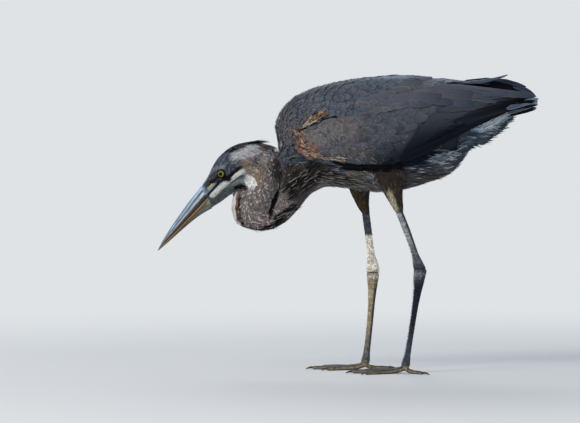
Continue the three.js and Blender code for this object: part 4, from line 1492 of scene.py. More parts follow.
def at_gap(line, near, far):
    """For each face of the guide, 1 within near millimetres of a line in the side view, 0 beyond far."""
    gap = gap_to(line, face_middle[:, 0] / MM, face_middle[:, 2] / MM)
    return 1 - smooth(gap, near, far)


# %% [markdown]
# The head. Its feathers are the shortest on the bird: two or three millimetres round the bill and the
# eye, eight on the crown. The lore, in front of the eye, is bare, and so is the ring of the lids.

# %% Head feathers
bare = at_gap(from_eye((-2, -3), (-15, -15), (-24, -26)), 4.2, 5.2) > 0.5
bare |= at_gap(from_eye((0, 0), (0.1, 0)), 8.2, 8.4) > 0.5
bare |= (face_middle / MM - mouth) @ base_ahead > -0.5
head_faces = (face_part == "head") & ~bare & (face_middle[:, 0] < (EYE[0] + 92) * MM)


def from_bill(mm):
    """How far each place is behind the bill, in millimetres."""
    return np.maximum((mouth - mm) @ base_ahead, 0)


CHEEK = line_of(HEAD_STROKES, "cheek, white")


def streaky(mm):
    """The share of dark and of pale tips on the head: none on the white cheek."""
    return 0.23 * smooth(gap_to(CHEEK, mm[:, 0], mm[:, 2]), 6, 13)


head_spacing = np.clip(1.2 + 0.011 * from_bill(face_middle / MM), 1.2, 1.9)
head_group = tract(
    head_faces, head_spacing, lambda mm: np.clip(2.6 + 0.085 * from_bill(mm), 2.6, 8.5),
    lambda mm: np.clip(0.45 + 0.005 * from_bill(mm), 0.45, 0.85), "tuft", 1.1, yaw=10, vary=0.22,
    flecks=[(streaky, "#c9cdd3", 0.5), (streaky, "#14161b", 0.65)],
)
joined_vanes("head_feathers", [head_group], soft_down, "crown_plumage")

# %% [markdown]
# Drawn feathers. Where a feather leaves the body, there is nothing to walk over, so its middle line is
# drawn through a few named points as a smooth curve, with one direction as its upper side.


# %% Feathers along drawn lines
def drawn(points):
    """Many smooth middle lines. points is an array of lines, each of three places in millimetres."""
    t = np.linspace(0, 1, SECTIONS + 1)[None, :, None]
    start, bend, end = (points[:, k : k + 1] for k in range(3))
    middle = 2 * bend - (start + end) / 2
    return ((1 - t) ** 2 * start + 2 * t * (1 - t) * middle + t**2 * end) * MM


def drawn_vanes(points, up, half, shape, inks, **more):
    """Vanes along drawn lines, with up as the upper side of each."""
    points = np.asarray(points, float)
    count = len(points)
    ups = np.broadcast_to(unit(np.asarray(up, float)).reshape(-1, 1, 3), (count, SECTIONS + 1, 3))
    half = np.broadcast_to(half, count).astype(float)
    return vanes(drawn(points), ups, half, shape, 0.0, inks=inks, **more)


def drawn_from(inks, count):
    """A colour for each of many feathers, drawn at random from a few."""
    return np.array([to_linear(ink) for ink in inks])[chance.integers(0, len(inks), count)]


def inked(count, root, tip, vary):
    """The same two colours for many feathers, each a little darker or paler."""
    shade = varied(np.ones((count, 3)), vary)
    return [np.clip(to_linear(ink) * shade, 0.001, 1) for ink in (root, tip)]


# %% [markdown]
# The crest. Long narrow black plumes grow from the crown and run back past the nape, and shorter grey
# and brown ones hang over it. Strands could be hair curves, but lances keep their width anywhere.

# %% Crown plumes
CREST_LOW, CREST_HIGH = [np.array(corner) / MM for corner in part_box("crest")]
crest_tip = np.array([CREST_HIGH[0], 0, CREST_HIGH[2] - 3.2])
PLUMES = 70
back = chance.random(PLUMES) ** 0.7
aside = chance.uniform(-1, 1, PLUMES)
plume_start = np.column_stack([
    CREST_LOW[0] - 34 + 48 * back,
    9 * aside * (1 - 0.4 * back),
    EYE[2] + 44 + 14 * back**0.6 - 3.0 * aside**2,
])
plume_end = np.column_stack([
    crest_tip[0] - 26 * chance.random(PLUMES) ** 1.5, 2.6 * aside, crest_tip[2] - 2.2 * chance.random(PLUMES)
])
plume_bend = (plume_start + plume_end) / 2 + np.column_stack([
    np.zeros(PLUMES), 1.0 * aside, 3.4 - 1.4 * chance.random(PLUMES) - 2 * aside**2
])
crown_group = drawn_vanes(
    np.stack([plume_start, plume_bend, plume_end], axis=1), (0, 0, 1), 0.95, "lance",
    inked(PLUMES, "#16191f", "#101216", 0.3), arch=0.4,
)
NAPE = 90
aside, rank = chance.uniform(-1, 1, NAPE), chance.random(NAPE)
nape_start = np.column_stack([EYE[0] + 52 + 26 * rank, 8 * aside, EYE[2] + 54 - 5 * aside**2 - 2 * rank])
nape_fall = 1.5 + 7 * rank + 3 * chance.random(NAPE)
nape_end = nape_start + np.column_stack([np.full(NAPE, 27), -1.5 * aside, -nape_fall])
nape_bend = (nape_start + nape_end) / 2 + (0, 0, 2.2)
ink = drawn_from(["#8d95a4", "#a5a3a6", "#6b5548", "#4a4442"], NAPE)
nape_group = drawn_vanes(
    np.stack([nape_start, nape_bend, nape_end], axis=1), (0, 0, 1), 1.5, "lance", (ink * 0.8, ink), arch=0.4,
)
joined_vanes("crown_plumes", [crown_group, nape_group], soft_down, "crown_plumage", "crest")

# %% [markdown]
# The neck. Narrow pointed feathers of about a centimetre lie along the fold. Many have a pale streak
# near the tip and some a rusty or a black one, which from a few steps away reads as fine speckle.

# %% Neck feathers
neck_faces = face_part == "neck"
THROAT = line_of(NECK_STROKES, "throat patch, white")
FRONT = line_of(NECK_STROKES, "front of the neck, white")


def off_white(mm):
    """0 on the white of the throat and the neck's front, where no feather is flecked, and 1 elsewhere."""
    gap = np.minimum(gap_to(THROAT, mm[:, 0], mm[:, 2]) - 10, gap_to(FRONT, mm[:, 0], mm[:, 2]) - 3)
    return smooth(gap, 0, 3)


def speckled(mm):
    """How many neck feathers are flecked: fewer behind the ear, more down the bulge."""
    plain = 1 - 0.8 * smooth(mm[:, 0], EYE[0] + 92, EYE[0] + 104)  # behind the fold they are all one brown
    return (0.5 + 0.5 * (1 - smooth(mm[:, 2], EYE[2] - 60, EYE[2] + 20))) * off_white(mm) * plain


neck_group = tract(
    neck_faces, 1.95, 7.0, 1.15, "tuft", 2.8, yaw=12, vary=0.24, tip=1.06,
    flecks=[
        (lambda mm: 0.1 * speckled(mm), "#c9cbd0", 0.8), (lambda mm: 0.14 * off_white(mm), "#7d4f3a", 0.7),
        (lambda mm: 0.2 * off_white(mm), "#1b1818", 0.8),
    ],
)
bold_group = tract(
    neck_faces, 4.9, 8.0, 1.75, "tuft", 2.0, yaw=16, vary=0.2, tip=1.0,
    flecks=[
        (lambda mm: 0.42 * speckled(mm), "#dcdfe4", 0.95), (lambda mm: 0.2 * off_white(mm), "#6f4431", 0.75),
        (lambda mm: 0.24 * off_white(mm), "#171415", 0.8),
    ],
)
joined_vanes("neck_feathers", [neck_group, bold_group], soft_down, "neck_plumage")

# %% [markdown]
# The front of the neck carries long loose plumes that hang at the breast. They are black with white
# shafts, and end free of the body.

# %% Breast plumes
breast_faces = at_gap(from_eye((60, -104), (92, -98), (124, -80)), 8, 10) > 0.5
breast_group = tract(
    breast_faces & (face_part == "neck"), 4.2, 26, 1.5, "lance", 2.0, yaw=5, vary=0.3, tip=0.8,
    flecks=[(0.2, "#a59f98", 0.85), (0.6, "#0d0d0f", 0.95)],
)
joined_vanes("breast_plumes", [breast_group], soft_down, "neck_plumage")

# %% [markdown]
# The body. The back is covered in broad rounded feathers that lie close, the shoulder's front in
# smaller ones with buff specks, and the belly and flank in loose narrow ones, as they are softer.

# %% Back and shoulders
body_low = BEND[2] - 12
on_back = (face_part == "trunk") & (face_middle[:, 2] > body_low * MM)
under_wings = (face_up[:, 0] > 0.45) | (face_middle[:, 2] < 0.45)
rump_end = (face_middle[:, 0] > 0.14) & under_wings  # the wings' tips hide it


def behind_bend(mm, near, far):
    """0 in front of the wing's bend by near millimetres, 1 behind it by far."""
    return smooth(mm[:, 0], BEND[0] + near, BEND[0] + far)


def growing(mm, first, then, last):
    """A size that grows towards the tail: first at the shoulder, then more behind it, last more again."""
    return first + then * behind_bend(mm, -30, 90) + last * behind_bend(mm, 90, 240)


back_group = tract(
    on_back & ~rump_end, growing(face_middle / MM, 3.4, 2.2, 2.4), lambda mm: growing(mm, 11, 12, 20),
    lambda mm: growing(mm, 2.2, 3.0, 2.4), "round", 4.5, yaw=10, roll=3, vary=0.19, arch=0.12, tip=1.04,
    flecks=[
        (lambda mm: 0.18 + 0.24 * (1 - behind_bend(mm, -10, 90)), "#94827a", 0.65), (0.08, "#8e9298", 0.5),
        (lambda mm: 0.14 + 0.14 * (1 - behind_bend(mm, -10, 90)), "#1d2026", 0.7),
    ],
)
joined_vanes("back_feathers", [back_group], contour, "slate_plumage")

# %% [markdown]
# Belly and flank are loose and soft, so these feathers are lances whose tips lift off the body, more
# towards the tail. Pale tips frost the flank, and cream ones show on the breast.

# %% Belly and flank
on_belly = (face_part == "trunk") & ~on_back
frosted = line_of(BODY_STROKES, "flank, whitish")


def frost(mm):
    """The share of pale tips: most on the flank's whitish patch."""
    return 0.05 + 0.5 * (1 - smooth(gap_to(frosted, mm[:, 0], mm[:, 2]), 6, 12))


def creamy(mm):
    """The share of cream tips: most on the breast and the belly in front of the thighs."""
    return 0.17 * (1 - behind_bend(mm, 140, 175))


belly_group = tract(
    on_belly, 3.6, lambda mm: 17 + 11 * behind_bend(mm, 120, 260), 1.9, "lance", 4.2, yaw=11, vary=0.2,
    loose=lambda mm: 0.6 + 1.6 * behind_bend(mm, 180, 290), tip=1.1,
    flecks=[(frost, "#c3cace", 0.85), (creamy, "#958b7b", 0.7), (0.18, "#131417", 0.75)],
)
joined_vanes("belly_feathers", [belly_group], soft_down, "slate_plumage")

# %% [markdown]
# The thighs wear short dense feathers that point down and end above the bare shank.

# %% Thighs
thigh_group = tract(
    face_part == "thigh", 2.3, 13, 1.2, "lance", 2.4, yaw=8, vary=0.2, tip=1.1,
    flecks=[(0.08, "#8d8268", 0.5), (0.14, "#171514", 0.6)],
)
joined_vanes("thigh_feathers", [thigh_group], soft_down, "thigh_plumage")

# %% [markdown]
# Under the tail the coat is long and ragged, so the feathers are far from even and lift the most.

# %% Under the tail
vent_group = tract(
    face_part == "vent", 3.9, 29, 2.6, "lance", 4.5, yaw=13, vary=0.2, tip=1.15, loose=4.0,
    flecks=[(0.16, "#b9c5ce", 0.6), (0.16, "#10151b", 0.75)],
)
joined_vanes("vent_feathers", [vent_group], soft_down, "vent_plumage")

# %% [markdown]
# The wing. A folded heron wing shows rows of coverts, tiny at the bend and longer row by row towards
# the tail, over the dark flight feathers. The rows lie on arcs about the wing's tip, each staggered
# against the last, and are projected onto the guide from the side.

# %% Coverts in rows
# The colour of the feathers' edges, as strokes over the wing.
FRINGES = strokes_from(from_bend, [
    ("brownish", ((30, 20), (90, 40), (160, 60)), 42, 50, "#94867c", 0.6),
    ("bend, rust", ((-4, 4), (4, 22), (24, 34)), 12, 14, "#b98f76", 0.8),
    ("below the bend, rust", ((0, -2), (20, -16), (50, -24)), 6, 7, "#b98e70", 0.9),
    ("white patch", ((34, 26), (60, 16)), 9, 10, "#a4a9ab", 0.45),
    ("low, cream", ((70, -4), (100, -14), (150, -18)), 10, 10, "#a19a8b", 0.5),
    ("lower edge, buff", ((64, -25), (110, -32), (180, -34)), 4, 4, "#a38d70", 0.9),
])
WING_EDGE = from_bend((4, -5), (35, -22), (97, -30), (147, -30), (182, -31), (221, -8), (280, 24), (336, 55))


def edge_colour(mm, end):
    """The colour of a wing feather's edge: a little paler than its middle, with the fringes laid over."""
    edge = stroked(end * 1.3, mm, FRINGES)
    return end + chance.random((len(end), 1)) ** 1.5 * (edge - end)


def row_step(reach):
    """The distance from one row to the next, for a row that is reach millimetres from the wing's tip."""
    return np.interp(reach, [120, 250, 390, 450], [15, 12.5, 6.0, 4.0])


def rows_on(side, nearest, farthest, low, high):
    """Roots in staggered rows between two angles below the level, in degrees."""
    reach, roots, faces, steps, stagger = farthest, [], [], [], 0.0
    sign = SIDES[side]
    while reach > nearest:
        step = row_step(reach)
        last = np.interp(reach, [nearest, 290, 330], [low, 13, high])  # the flight feathers show below
        first = math.radians(low) + stagger * step / reach
        for angle in np.arange(first, math.radians(last), step * 0.9 / reach):
            off = chance.normal(0, 0.06, 2) * step
            x = WING_TIP[0] - reach * math.cos(angle) + off[0]
            z = WING_TIP[2] - reach * math.sin(angle) + off[1]
            hit = guide.tree.ray_cast(Vector((x, sign * 200, z)) * MM, Vector((0, -sign, 0)))
            if hit[0] is not None and face_owner[hit[2]] == f"wing_{side}":
                roots.append(hit[0][:])
                faces.append(hit[2])
                steps.append(step)
        stagger = 0.45 - stagger
        reach -= step
    return np.array(roots), np.array(faces), np.array(steps)


for side, sign in SIDES.items():
    places, faces, step = rows_on(side, 100, 452, 2, 32)
    mm = places / MM
    count = len(places)
    # Low on the front of the wing the coverts hang more than the lie says.
    droop = np.exp(-(((mm[:, 0] - 10) / 45) ** 2) - ((mm[:, 2] - 392) / 22) ** 2)
    turn = np.radians(-28 * droop + 4 * chance.standard_normal(count))[:, None] * -sign
    line, ups = walked(places, faces, step * 3.1 * (1 + 0.08 * chance.standard_normal(count)), turn)
    tip = line[:, -1] / MM
    kept = tip[:, 2] > np.interp(tip[:, 0], *zip(*WING_EDGE)) - 1.0  # none hangs below the wing
    line, ups, places, step, count = line[kept], ups[kept], places[kept], step[kept], kept.sum()
    mm = places / MM
    on_wing, shade = np.full(count, "wing"), varied(np.ones((count, 3)), 0.13)
    root, end = [shade * coat_colour(line[:, k], on_wing) for k in (1, -2)]
    end = flecked(end * 1.06, mm, [(0.08, "#23262c", 0.5)])
    tilt = np.radians(3) * chance.standard_normal(count)
    edge = edge_colour(line[:, -2] / MM, end)
    inks = (root * 0.85, end)
    covert_group = vanes(line, ups, step * 0.66, "round", 2.2 + 0.12 * step, 0.14, tilt, inks, edge)
    joined_vanes(f"wing_coverts_{side}", [covert_group], contour, "flight_plumage", f"wing_{side}")

# %% [markdown]
# Long feathers over a step. The folded wing stands proud of the back, and the long feathers of the
# shoulder bridge the step between them. A walked line would run into the step, so these lines are laid
# out in the side view and dropped onto the guide along a ray, then evened so that none dips below it.


# %% Draped lines
def draped(starts, ends, ray, lift):
    """Middle lines between two places each, laid on the guide along a ray and raised off it by lift."""
    ray = np.array(ray, float)
    share = np.linspace(0, 1, SECTIONS + 1)
    starts, ends = np.asarray(starts, float)[:, None], np.asarray(ends, float)[:, None]
    line = starts * (1 - share)[:, None] + ends * share[:, None]
    line -= (line @ ray)[..., None] * ray
    depth, ups = np.zeros(line.shape[:2]), np.zeros(line.shape)
    for i, k in np.ndindex(depth.shape):
        hit = guide.tree.ray_cast(Vector((line[i, k] - ray * 400) * MM), Vector(ray))
        if hit[0] is not None:
            depth[i, k], ups[i, k] = np.dot(hit[0], ray) / MM, face_up[hit[2]]
        elif k:
            depth[i, k], ups[i, k] = depth[i, k - 1], ups[i, k - 1]
    outside = depth.copy()
    for _ in range(3):
        for values in (depth, ups):
            values[:, 1:-1] = (values[:, :-2] + 2 * values[:, 1:-1] + values[:, 2:]) / 4
        depth = np.minimum(depth, outside)
    line += ((depth - np.reshape(lift, (-1, 1)))[..., None]) * ray
    return line * MM, unit(ups)


def draped_vanes(starts, ends, ray, lift, half, shape, inks, sunk=0.0, **more):
    """Vanes along draped lines, one half width for each or for all."""
    line, ups = draped(starts, ends, ray, lift)
    half = np.broadcast_to(half, len(line)).astype(float)
    return vanes(line, ups, half, shape, sunk, inks=inks, **more)


def in_side_view(points):
    """Places in the side view as places in space."""
    return np.array([(x, 0.0, z) for x, z in points])


def trail(side, line, count, reach, slope, aside, half, inks, lift):
    """Narrow feathers that start at random along a line in the side view, within aside of it. Their
    length and their slope from the line, in degrees, are drawn from ranges, and their colour from inks."""
    line = np.array(line, float)
    step = np.diff(line, axis=0)
    far = np.append(0, np.cumsum(np.hypot(*step.T)))
    along = chance.uniform(0, far[-1], count)
    heading = np.arctan2(*step.T[::-1])[np.clip(np.searchsorted(far, along) - 1, 0, len(step) - 1)]
    off = chance.uniform(-aside, aside, count)
    x = np.interp(along, far, line[:, 0]) - np.sin(heading) * off
    z = np.interp(along, far, line[:, 1]) + np.cos(heading) * off
    heading += np.radians(chance.uniform(*slope, count))
    reach = chance.uniform(*reach, count)
    start = np.column_stack([x, x * 0, z])
    end = start + np.column_stack([reach * np.cos(heading), x * 0, reach * np.sin(heading)])
    ink = drawn_from(inks, count) * chance.uniform(0.7, 1.2, (count, 1))
    return draped_vanes(start, end, (0, -SIDES[side], 0), lift, half, "lance", (ink * 0.7, ink), sunk=1.5)


# %% [markdown]
# Scapulars, tertials and the flight feathers. From the top down they overlap like a closed fan: the
# scapulars cover the wing's upper edge, the tertials lie over the secondaries, and the dark primaries
# show last, along the lower edge. Each row is laid out by how far it is from the wing's tip.

# %% Scapulars, tertials, secondaries and primaries
FLIGHT_COUNT, LOWEST_ANGLE = 19, 22.8  # feathers, and degrees of the lowest one below the level
WING_TOP = [(20, 466), (60, 474), (100, 496), (140, 512), (180, 523)]  # the wing's upper edge
BACK_TOP = [(14, 520), (100, 534), (150, 529), (200, 519)]  # the ridge of the back, just below its feathers
TERTIALS = [  # root, tip, half width
    ((60, 488), (158, 489), 11), ((80, 497), (180, 494), 12), ((104, 500), (200, 488), 11),
    ((122, 509), (238, 499), 12), ((140, 500), (232, 482), 10), ((150, 513), (272, 497), 10.5),
    ((160, 508), (290, 489), 9.5), ((176, 519), (312, 499), 9.5), ((186, 514), (339, 496), 10),
]


def around_tip(reach, angle):
    """A place in the side view at a distance from the wing's tip and an angle below the level."""
    angle = math.radians(angle)
    return WING_TIP[0] - reach * math.cos(angle), WING_TIP[2] - reach * math.sin(angle)


for side, sign in SIDES.items():
    inward = (0, -sign, 0)
    groups = []
    starts, ends, lifts = [], [], []
    for k in range(FLIGHT_COUNT):
        angle = LOWEST_ANGLE - k
        starts.append(around_tip(275 - 5 * k, angle + 0.6))
        ends.append(around_tip(max(150 - 21 * k, 3 + 0.6 * k), angle * (0.96 if k < 7 else 0.8)))
        lifts.append(-1.2 + 0.22 * k)
    starts, ends = in_side_view(starts), in_side_view(ends)
    on_wing, shade = np.full(FLIGHT_COUNT, "wing"), varied(np.ones((FLIGHT_COUNT, 3)), 0.08)
    inks = []
    # The colour near the tip is darker partly as painted shade over the rear of the folded wing.
    for share, dim in ((0.16, 1.1), (0.7, 0.6)):  # near the root, and darker near the tip
        inks.append(dim * shade * coat_colour((starts + share * (ends - starts)) * MM, on_wing))
    edge = inks[1] * 1.4
    edge[0] = to_linear("#2e2926")
    groups.append(draped_vanes(starts, ends, inward, lifts, 9.0, "blade", inks, arch=0.08, fringe=edge))
    starts, ends, halves = zip(*TERTIALS)
    count = len(TERTIALS)
    inks = inked(count, "#535661", "#3a414d", 0.08)
    edge = inks[1] + chance.uniform(0.1, 0.6, (count, 1)) * (to_linear("#857a72") - inks[1])
    lifts = 2.6 + 0.3 * np.arange(count)
    groups.append(draped_vanes(
        in_side_view(starts), in_side_view(ends), inward, lifts, halves, "blade", inks,
        sunk=2.0, arch=0.1, fringe=edge,
    ))
    if side == "left":
        # Two outer tail feathers, one pale and one black, have slipped outside the wing's tip.
        starts, ends = in_side_view([(284, 482), (294, 481)]), in_side_view([(342, 499), (341, 488)])
        line, ups = draped(starts, ends, inward, [20, 17])
        line[..., 2] -= 6 * MM
        ups = unit(np.broadcast_to((0.0, sign, 0.2), ups.shape))
        inks = [np.array([to_linear(pale), to_linear("#0b0e13")]) for pale in ("#4d5764", "#707b89")]
        half = np.array([5.0, 2.4])
        groups.append(vanes(line, ups, half, "blade", 5.0, 0.1, inks=inks, fringe=inks[1] * 1.6))
    joined_vanes(f"flight_feathers_{side}", groups, flight, "flight_plumage")

    starts, ends, halves = [], [], []
    for row in range(4):
        for x in np.arange(14 + 4.5 * (row % 2), 178, 9.0):
            z = np.interp(x, *zip(*WING_TOP)) + 3 + 8.5 * row
            x, z = x + chance.normal(0, 1.2), z + chance.normal(0, 1.0)
            if z > np.interp(x, *zip(*BACK_TOP)) - 6:
                continue
            length = np.interp(x, [14, 80, 178], [26, 44, 58]) * (1 + 0.1 * chance.standard_normal())
            slope = np.interp(x, [14, 100, 178], [0.02, 0.16, -0.1])
            starts.append((x - 8, z))
            ends.append((x - 8 + length, z + slope * length - 3))
            halves.append(np.interp(x, [14, 80, 178], [4.5, 7.5, 8.5]))
    inks = inked(len(starts), "#555963", "#51555f", 0.1)
    edge = inks[1] + chance.uniform(0.1, 0.9, (len(starts), 1)) * (to_linear("#85786f") - inks[1])
    scapulars = draped_vanes(
        in_side_view(starts), in_side_view(ends), inward, 1.4, halves, "round", inks, sunk=3.0, arch=0.12,
        roll=np.radians(3) * chance.standard_normal(len(starts)), fringe=edge,
    )
    joined_vanes(f"scapulars_{side}", [scapulars], contour, "slate_plumage")

# %% [markdown]
# Tail and loose plume. Twelve tail feathers are stacked like a roof, the middle pair on top and the outer
# ones drooping below; the two lowest pairs are nearly black as painted shade in the gap under the tail. One
# tertial on the left has lifted off the back and its tip stands free. Black vanes in the gap between the
# wings are painted shade.

# %% Tail and plume
TAIL_LOW, TAIL_HIGH = [np.array(corner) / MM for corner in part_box("tail")]
# Each pair, from the middle out: how far aside, how far below the tail's top, steepness, half width, colour.
# The two lowest pairs are nearly black as painted shade in the gap under the tail.
TAIL_PAIRS = [
    (2, -1.0, 0.3, 9.0, "#4a5360"), (6, -0.5, 0.9, 9.0, "#5b6675"), (9, 2.0, 1.6, 9.0, "#66717f"),
    (11, 3.5, 2.2, 8.5, "#6f7a88"), (9, 11.5, 1.4, 6.0, "#101318"), (12, 13.5, 2.0, 5.0, "#15181d"),
]
tail_groups = []
for aside, below, steep, half, ink in TAIL_PAIRS:
    for sign in SIDES.values():
        base = (TAIL_LOW[0] - 16, sign * aside * 0.5, TAIL_LOW[2] + 12 - 0.4 * below)
        tip = (TAIL_HIGH[0] - 0.2 * below, sign * aside, TAIL_HIGH[2] - below)
        bend = ((base[0] + tip[0]) / 2, sign * aside * 0.8, (base[2] + tip[2]) / 2 - 2.5)
        edge = np.array([to_linear("#5b646d" if below > 10 else "#8791a0")])
        inks = inked(1, ink, ink, 0.05)
        up = (-0.2, sign * steep, 1.0)
        tail_groups.append(drawn_vanes([(base, bend, tip)], up, half, "blade", inks, arch=0.1, fringe=edge))
joined_vanes("tail_feathers", tail_groups, flight, "flight_plumage", "tail")

PLUME_LOW, PLUME_HIGH = [np.array(corner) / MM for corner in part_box("plume_left")]
RIDGE_LINES = [
    (
        (x, y, 527 - abs(y) / 4), (x + 50, y, 533 - x / 17 - abs(y) / 4),
        (x + 100, y * 0.8, 529.5 - x / 17 - abs(y) / 3),
    )
    for x in (92, 112, 134, 156) for y in (-10, -3, 4, 11)
]
# Each bunch: its lines, upper side, half widths, shape, colours at root and tip, how much these vary, arch,
# and how much paler the fringe is than the tip, where it has one.
LOOSE_BUNCHES = [
    (  # the lifted tertial, and the one it lay on
        [
            (
                (PLUME_LOW[0] - 22, -9, PLUME_LOW[2] + 0.5), (245, -9.5, 524.5),
                (PLUME_HIGH[0] + 1.5, -8.5, PLUME_HIGH[2] + 2.5),
            ),
            ((PLUME_LOW[0] - 24, -12, PLUME_LOW[2] - 1.5), (225, -12.5, 521.5), (262, -11.5, 526)),
        ],
        [(0, -0.55, 1), (0, -0.7, 1)], [4.6, 4.5], "blade", "#434d59", "#445062", 0.05, 0.25, None,
    ),
    (  # the right wing's top feathers, seen past the left wing
        [
            ((196, 14, 519), (262, 10, 526), (322, 7, 512)), ((205, 10, 517), (280, 8, 521), (337, 5, 498)),
            ((190, 18, 516), (250, 14, 521), (300, 10, 514)),
        ],
        (0, 0.5, 1), 8, "blade", "#4a5463", "#4f5a6b", 0.08, 0.2, None,
    ),
    # Black vanes in the gap between the wings are painted shade.
    (  # the dark gap between the wings
        [
            ((192, -2, 512), (240, -1, 514), (300, 0, 508)), ((205, 2, 514), (262, 2, 518), (318, 2, 505)),
            ((280, -4, 488), (312, -4, 490), (341, -3, 489.5)),
        ],
        (0, -1, 0.2), [8, 7, 5], "blade", "#080c14", "#080c14", 0.0, 0.1, None,
    ),
    (  # the outer vanes of the right wing, whose lit edge shows over the dark gap
        [
            ((255, 4, 526), (292, 3, 521.5), (318, 2, 514.5)), ((262, 2, 525), (300, 1, 517), (330, 0, 505)),
            ((296, -3, 513), (318, -4, 505), (338, -4, 496)),
        ],
        (0.1, -1, 0.7), [2.4, 2.4, 2.8], "blade", "#3a4353", "#434d5d", 0.1, 0.1, 1.9,
    ),
    (RIDGE_LINES, (0, 0, 1), 7.0, "round", "#566070", "#566070", 0.1, 0.2, None),  # along the back's ridge
]
loose_groups = []
for lines, up, half, shape, root, tip, vary, arch, paler in LOOSE_BUNCHES:
    inks = inked(len(lines), root, tip, vary)
    fringe = inks[1] * paler if paler else None
    loose_groups.append(drawn_vanes(lines, up, half, shape, inks, arch=arch, fringe=fringe))
joined_vanes("top_plumes", loose_groups, flight, "flight_plumage", "plume_left")

# %% [markdown]
# Streaks and tufts. Where single narrow feathers of another colour show, they are laid along a line: the
# black crease where the neck folds on the shoulder, the black, rust and white lines down the neck's front,
# the tuft of buff, orange and white down that breaks out over a black slit at the shoulder, the black
# crescent under the wing, and the cream and rust feathers that trail along the wing's lower edge. The black
# feathers in the neck's crease and in the fold under the chin are painted shade, and those of the crescent
# under the wing are partly painted shade.

# %% Streaks and tufts
NECK_TRAILS = [  # line, count, length, slope, how far aside, half width, colours, height over the guide
    # The first three rows are black feathers laid as painted shade in the crease of the neck.
    (from_eye((106, 8), (103, -25), (100, -35)), 18, (10, 14), (-4, 4), 0.3, 0.6, ["#101113"], 2.2),
    (
        from_eye((101, -31), (94, -47), (88, -64)), 46, (8, 13), (-7, 7), 1.3, 1.1, ["#060708", "#0e0f11"],
        2.6,
    ),
    (from_eye((88, -62), (86, -76)), 10, (7, 10), (-5, 5), 0.5, 0.7, ["#0b0c0e"], 2.6),
    (from_eye((43, -7), (50, -13), (56, -20)), 70, (5, 9), (-30, 30), 7.5, 1.3, ["#ffffff", "#f6f6f2"], 2.3),
    (
        from_eye((66, -102), (90, -97), (108, -86)), 60, (9, 16), (-8, 14), 5.5, 0.9,
        ["#0f1013", "#1f1c1b", "#33292a"], 2.8,
    ),
    # Black feathers laid as painted shade in the fold under the chin.
    (
        from_eye((22, -27), (31, -23), (42, -24)), 30, (4, 8), (-30, 10), 2.4, 1.0, ["#0d0e10", "#1d1c1c"],
        2.0,
    ),
    (from_eye((24, -38), (21, -60), (24, -82)), 50, (8, 14), (-5, 5), 2.6, 0.9, ["#fbfaf5", "#efece2"], 2.4),
    (
        from_eye((29, -40), (26, -60), (28, -82)), 22, (5, 10), (-16, 10), 1.4, 0.6, ["#6e4329", "#a87a54"],
        2.5,
    ),
    (
        from_eye((33, -36), (30, -56), (31, -78), (36, -88)), 26, (5, 10), (-20, 12), 1.6, 0.7,
        ["#0f0e0e", "#2a1f19"], 2.6,
    ),
    (
        from_eye((40, -97), (60, -104), (90, -101), (112, -88)), 64, (14, 24), (-8, 8), 3.0, 0.8,
        ["#111011", "#1f1a19", "#5a4436", "#a9a39a"], 2.6,
    ),
    (
        from_eye((92, -84), (108, -76), (130, -62)), 50, (12, 20), (-12, 10), 6, 1.1,
        ["#0e0e10", "#161619", "#24221f", "#8f8a83"], 2.6,
    ),
    (
        [(-118, 318), (-90, 338), (-56, 362)], 170, (12, 24), (-10, 14), 20, 0.9,
        ["#0c0c0e", "#1b1a1b", "#2c2826", "#3f3a37", "#57514b", "#8f887c"], 3.2,
    ),
]
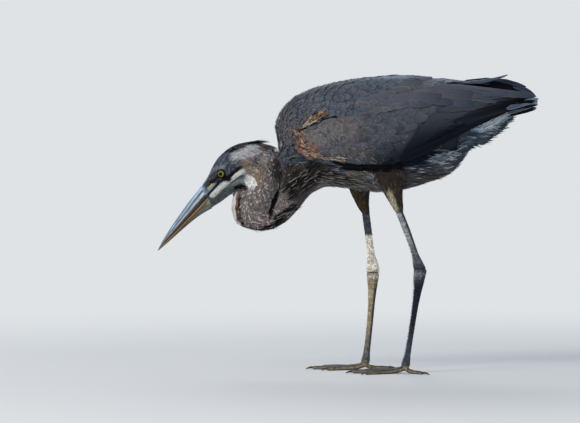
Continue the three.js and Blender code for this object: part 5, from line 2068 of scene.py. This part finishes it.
BODY_TRAILS = [
    (
        [(-86, 442), (-60, 453)], 46, (9, 14), (-6, 26), 3.4, 0.9,
        ["#e6e2d6", "#cfc8ba", "#a5866b", "#4b4038"], 2.6,
    ),
    (
        [(-78, 449), (-45, 466)], 60, (8, 12), (-6, 26), 4.0, 0.9,
        ["#b07e55", "#9b6c43", "#cbb497", "#54402f"], 2.7,
    ),
    ([(-91, 437), (-68, 446), (-36, 459), (-28, 461)], 22, (12, 18), (-4, 4), 0.7, 1.6, ["#070809"], 2.8),
    # The next two rows are black feathers of the crescent under the wing, partly painted shade.
    (
        from_bend((58, -21), (87, -30), (118, -34), (157, -35), (182, -34)), 60, (20, 30), (-3, 3), 1.6, 1.4,
        ["#090c11"], 3.0,
    ),
    (
        from_bend((80, -30), (100, -34), (125, -36), (160, -36)), 70, (18, 28), (-4, 4), 5.2, 1.7,
        ["#07090d", "#0e1219"], 1.6,
    ),
    (
        [(-91, 446), (-88, 416), (-77, 400), (-54, 392)], 230, (5, 10), (10, 50), 9, 0.6,
        ["#b47c5e", "#c69c80", "#8a6753", "#4b423f", "#e2d1be"], 2.0,
    ),
    (
        [(-74, 396), (-52, 390), (-18, 385)], 52, (12, 22), (-16, 4), 4.5, 0.75,
        ["#d5d0c4", "#b5ac9b", "#8a6a54", "#3b3836"], 1.9,
    ),
    ([(-34, 404), (44, 394)], 70, (6, 14), (-55, -26), 13, 0.5, ["#a39c8d", "#77716a", "#5c5853"], 2.6),
    ([(-52, 436), (-10, 422)], 60, (5, 9), (-52, -18), 9, 0.55, ["#a0a5a9", "#7f8388", "#5d6064"], 2.4),
    ([(10, 400), (104, 426)], 34, (3, 7), (-45, 10), 8, 0.6, ["#9b9284", "#6d675f", "#55504b"], 2.8),
    (
        from_bend((332, 33), (360, 48), (380, 59)), 90, (12, 24), (-14, 16), 5.5, 1.0,
        ["#eef5fa", "#c3d1dc", "#8b9cab"], 4.5,
    ),
    (
        from_bend((40, -52), (80, -58), (118, -62)), 90, (14, 24), (-8, 8), 10, 0.9,
        ["#1c1a19", "#35312e", "#5b564f", "#857e73", "#b0a99b"], 3.6,
    ),
    (from_bend((240, -27), (272, -14)), 34, (9, 18), (-10, 14), 6, 0.7, ["#aab3b9", "#7d878e"], 3.6),
]
for side in SIDES:
    streaks = [trail(side, *row) for row in NECK_TRAILS]
    joined_vanes(f"neck_streaks_{side}", streaks, soft_down, "neck_plumage")
    tufts = [trail(side, *row) for row in BODY_TRAILS]
    joined_vanes(f"bright_tufts_{side}", tufts, soft_down, "flight_plumage")
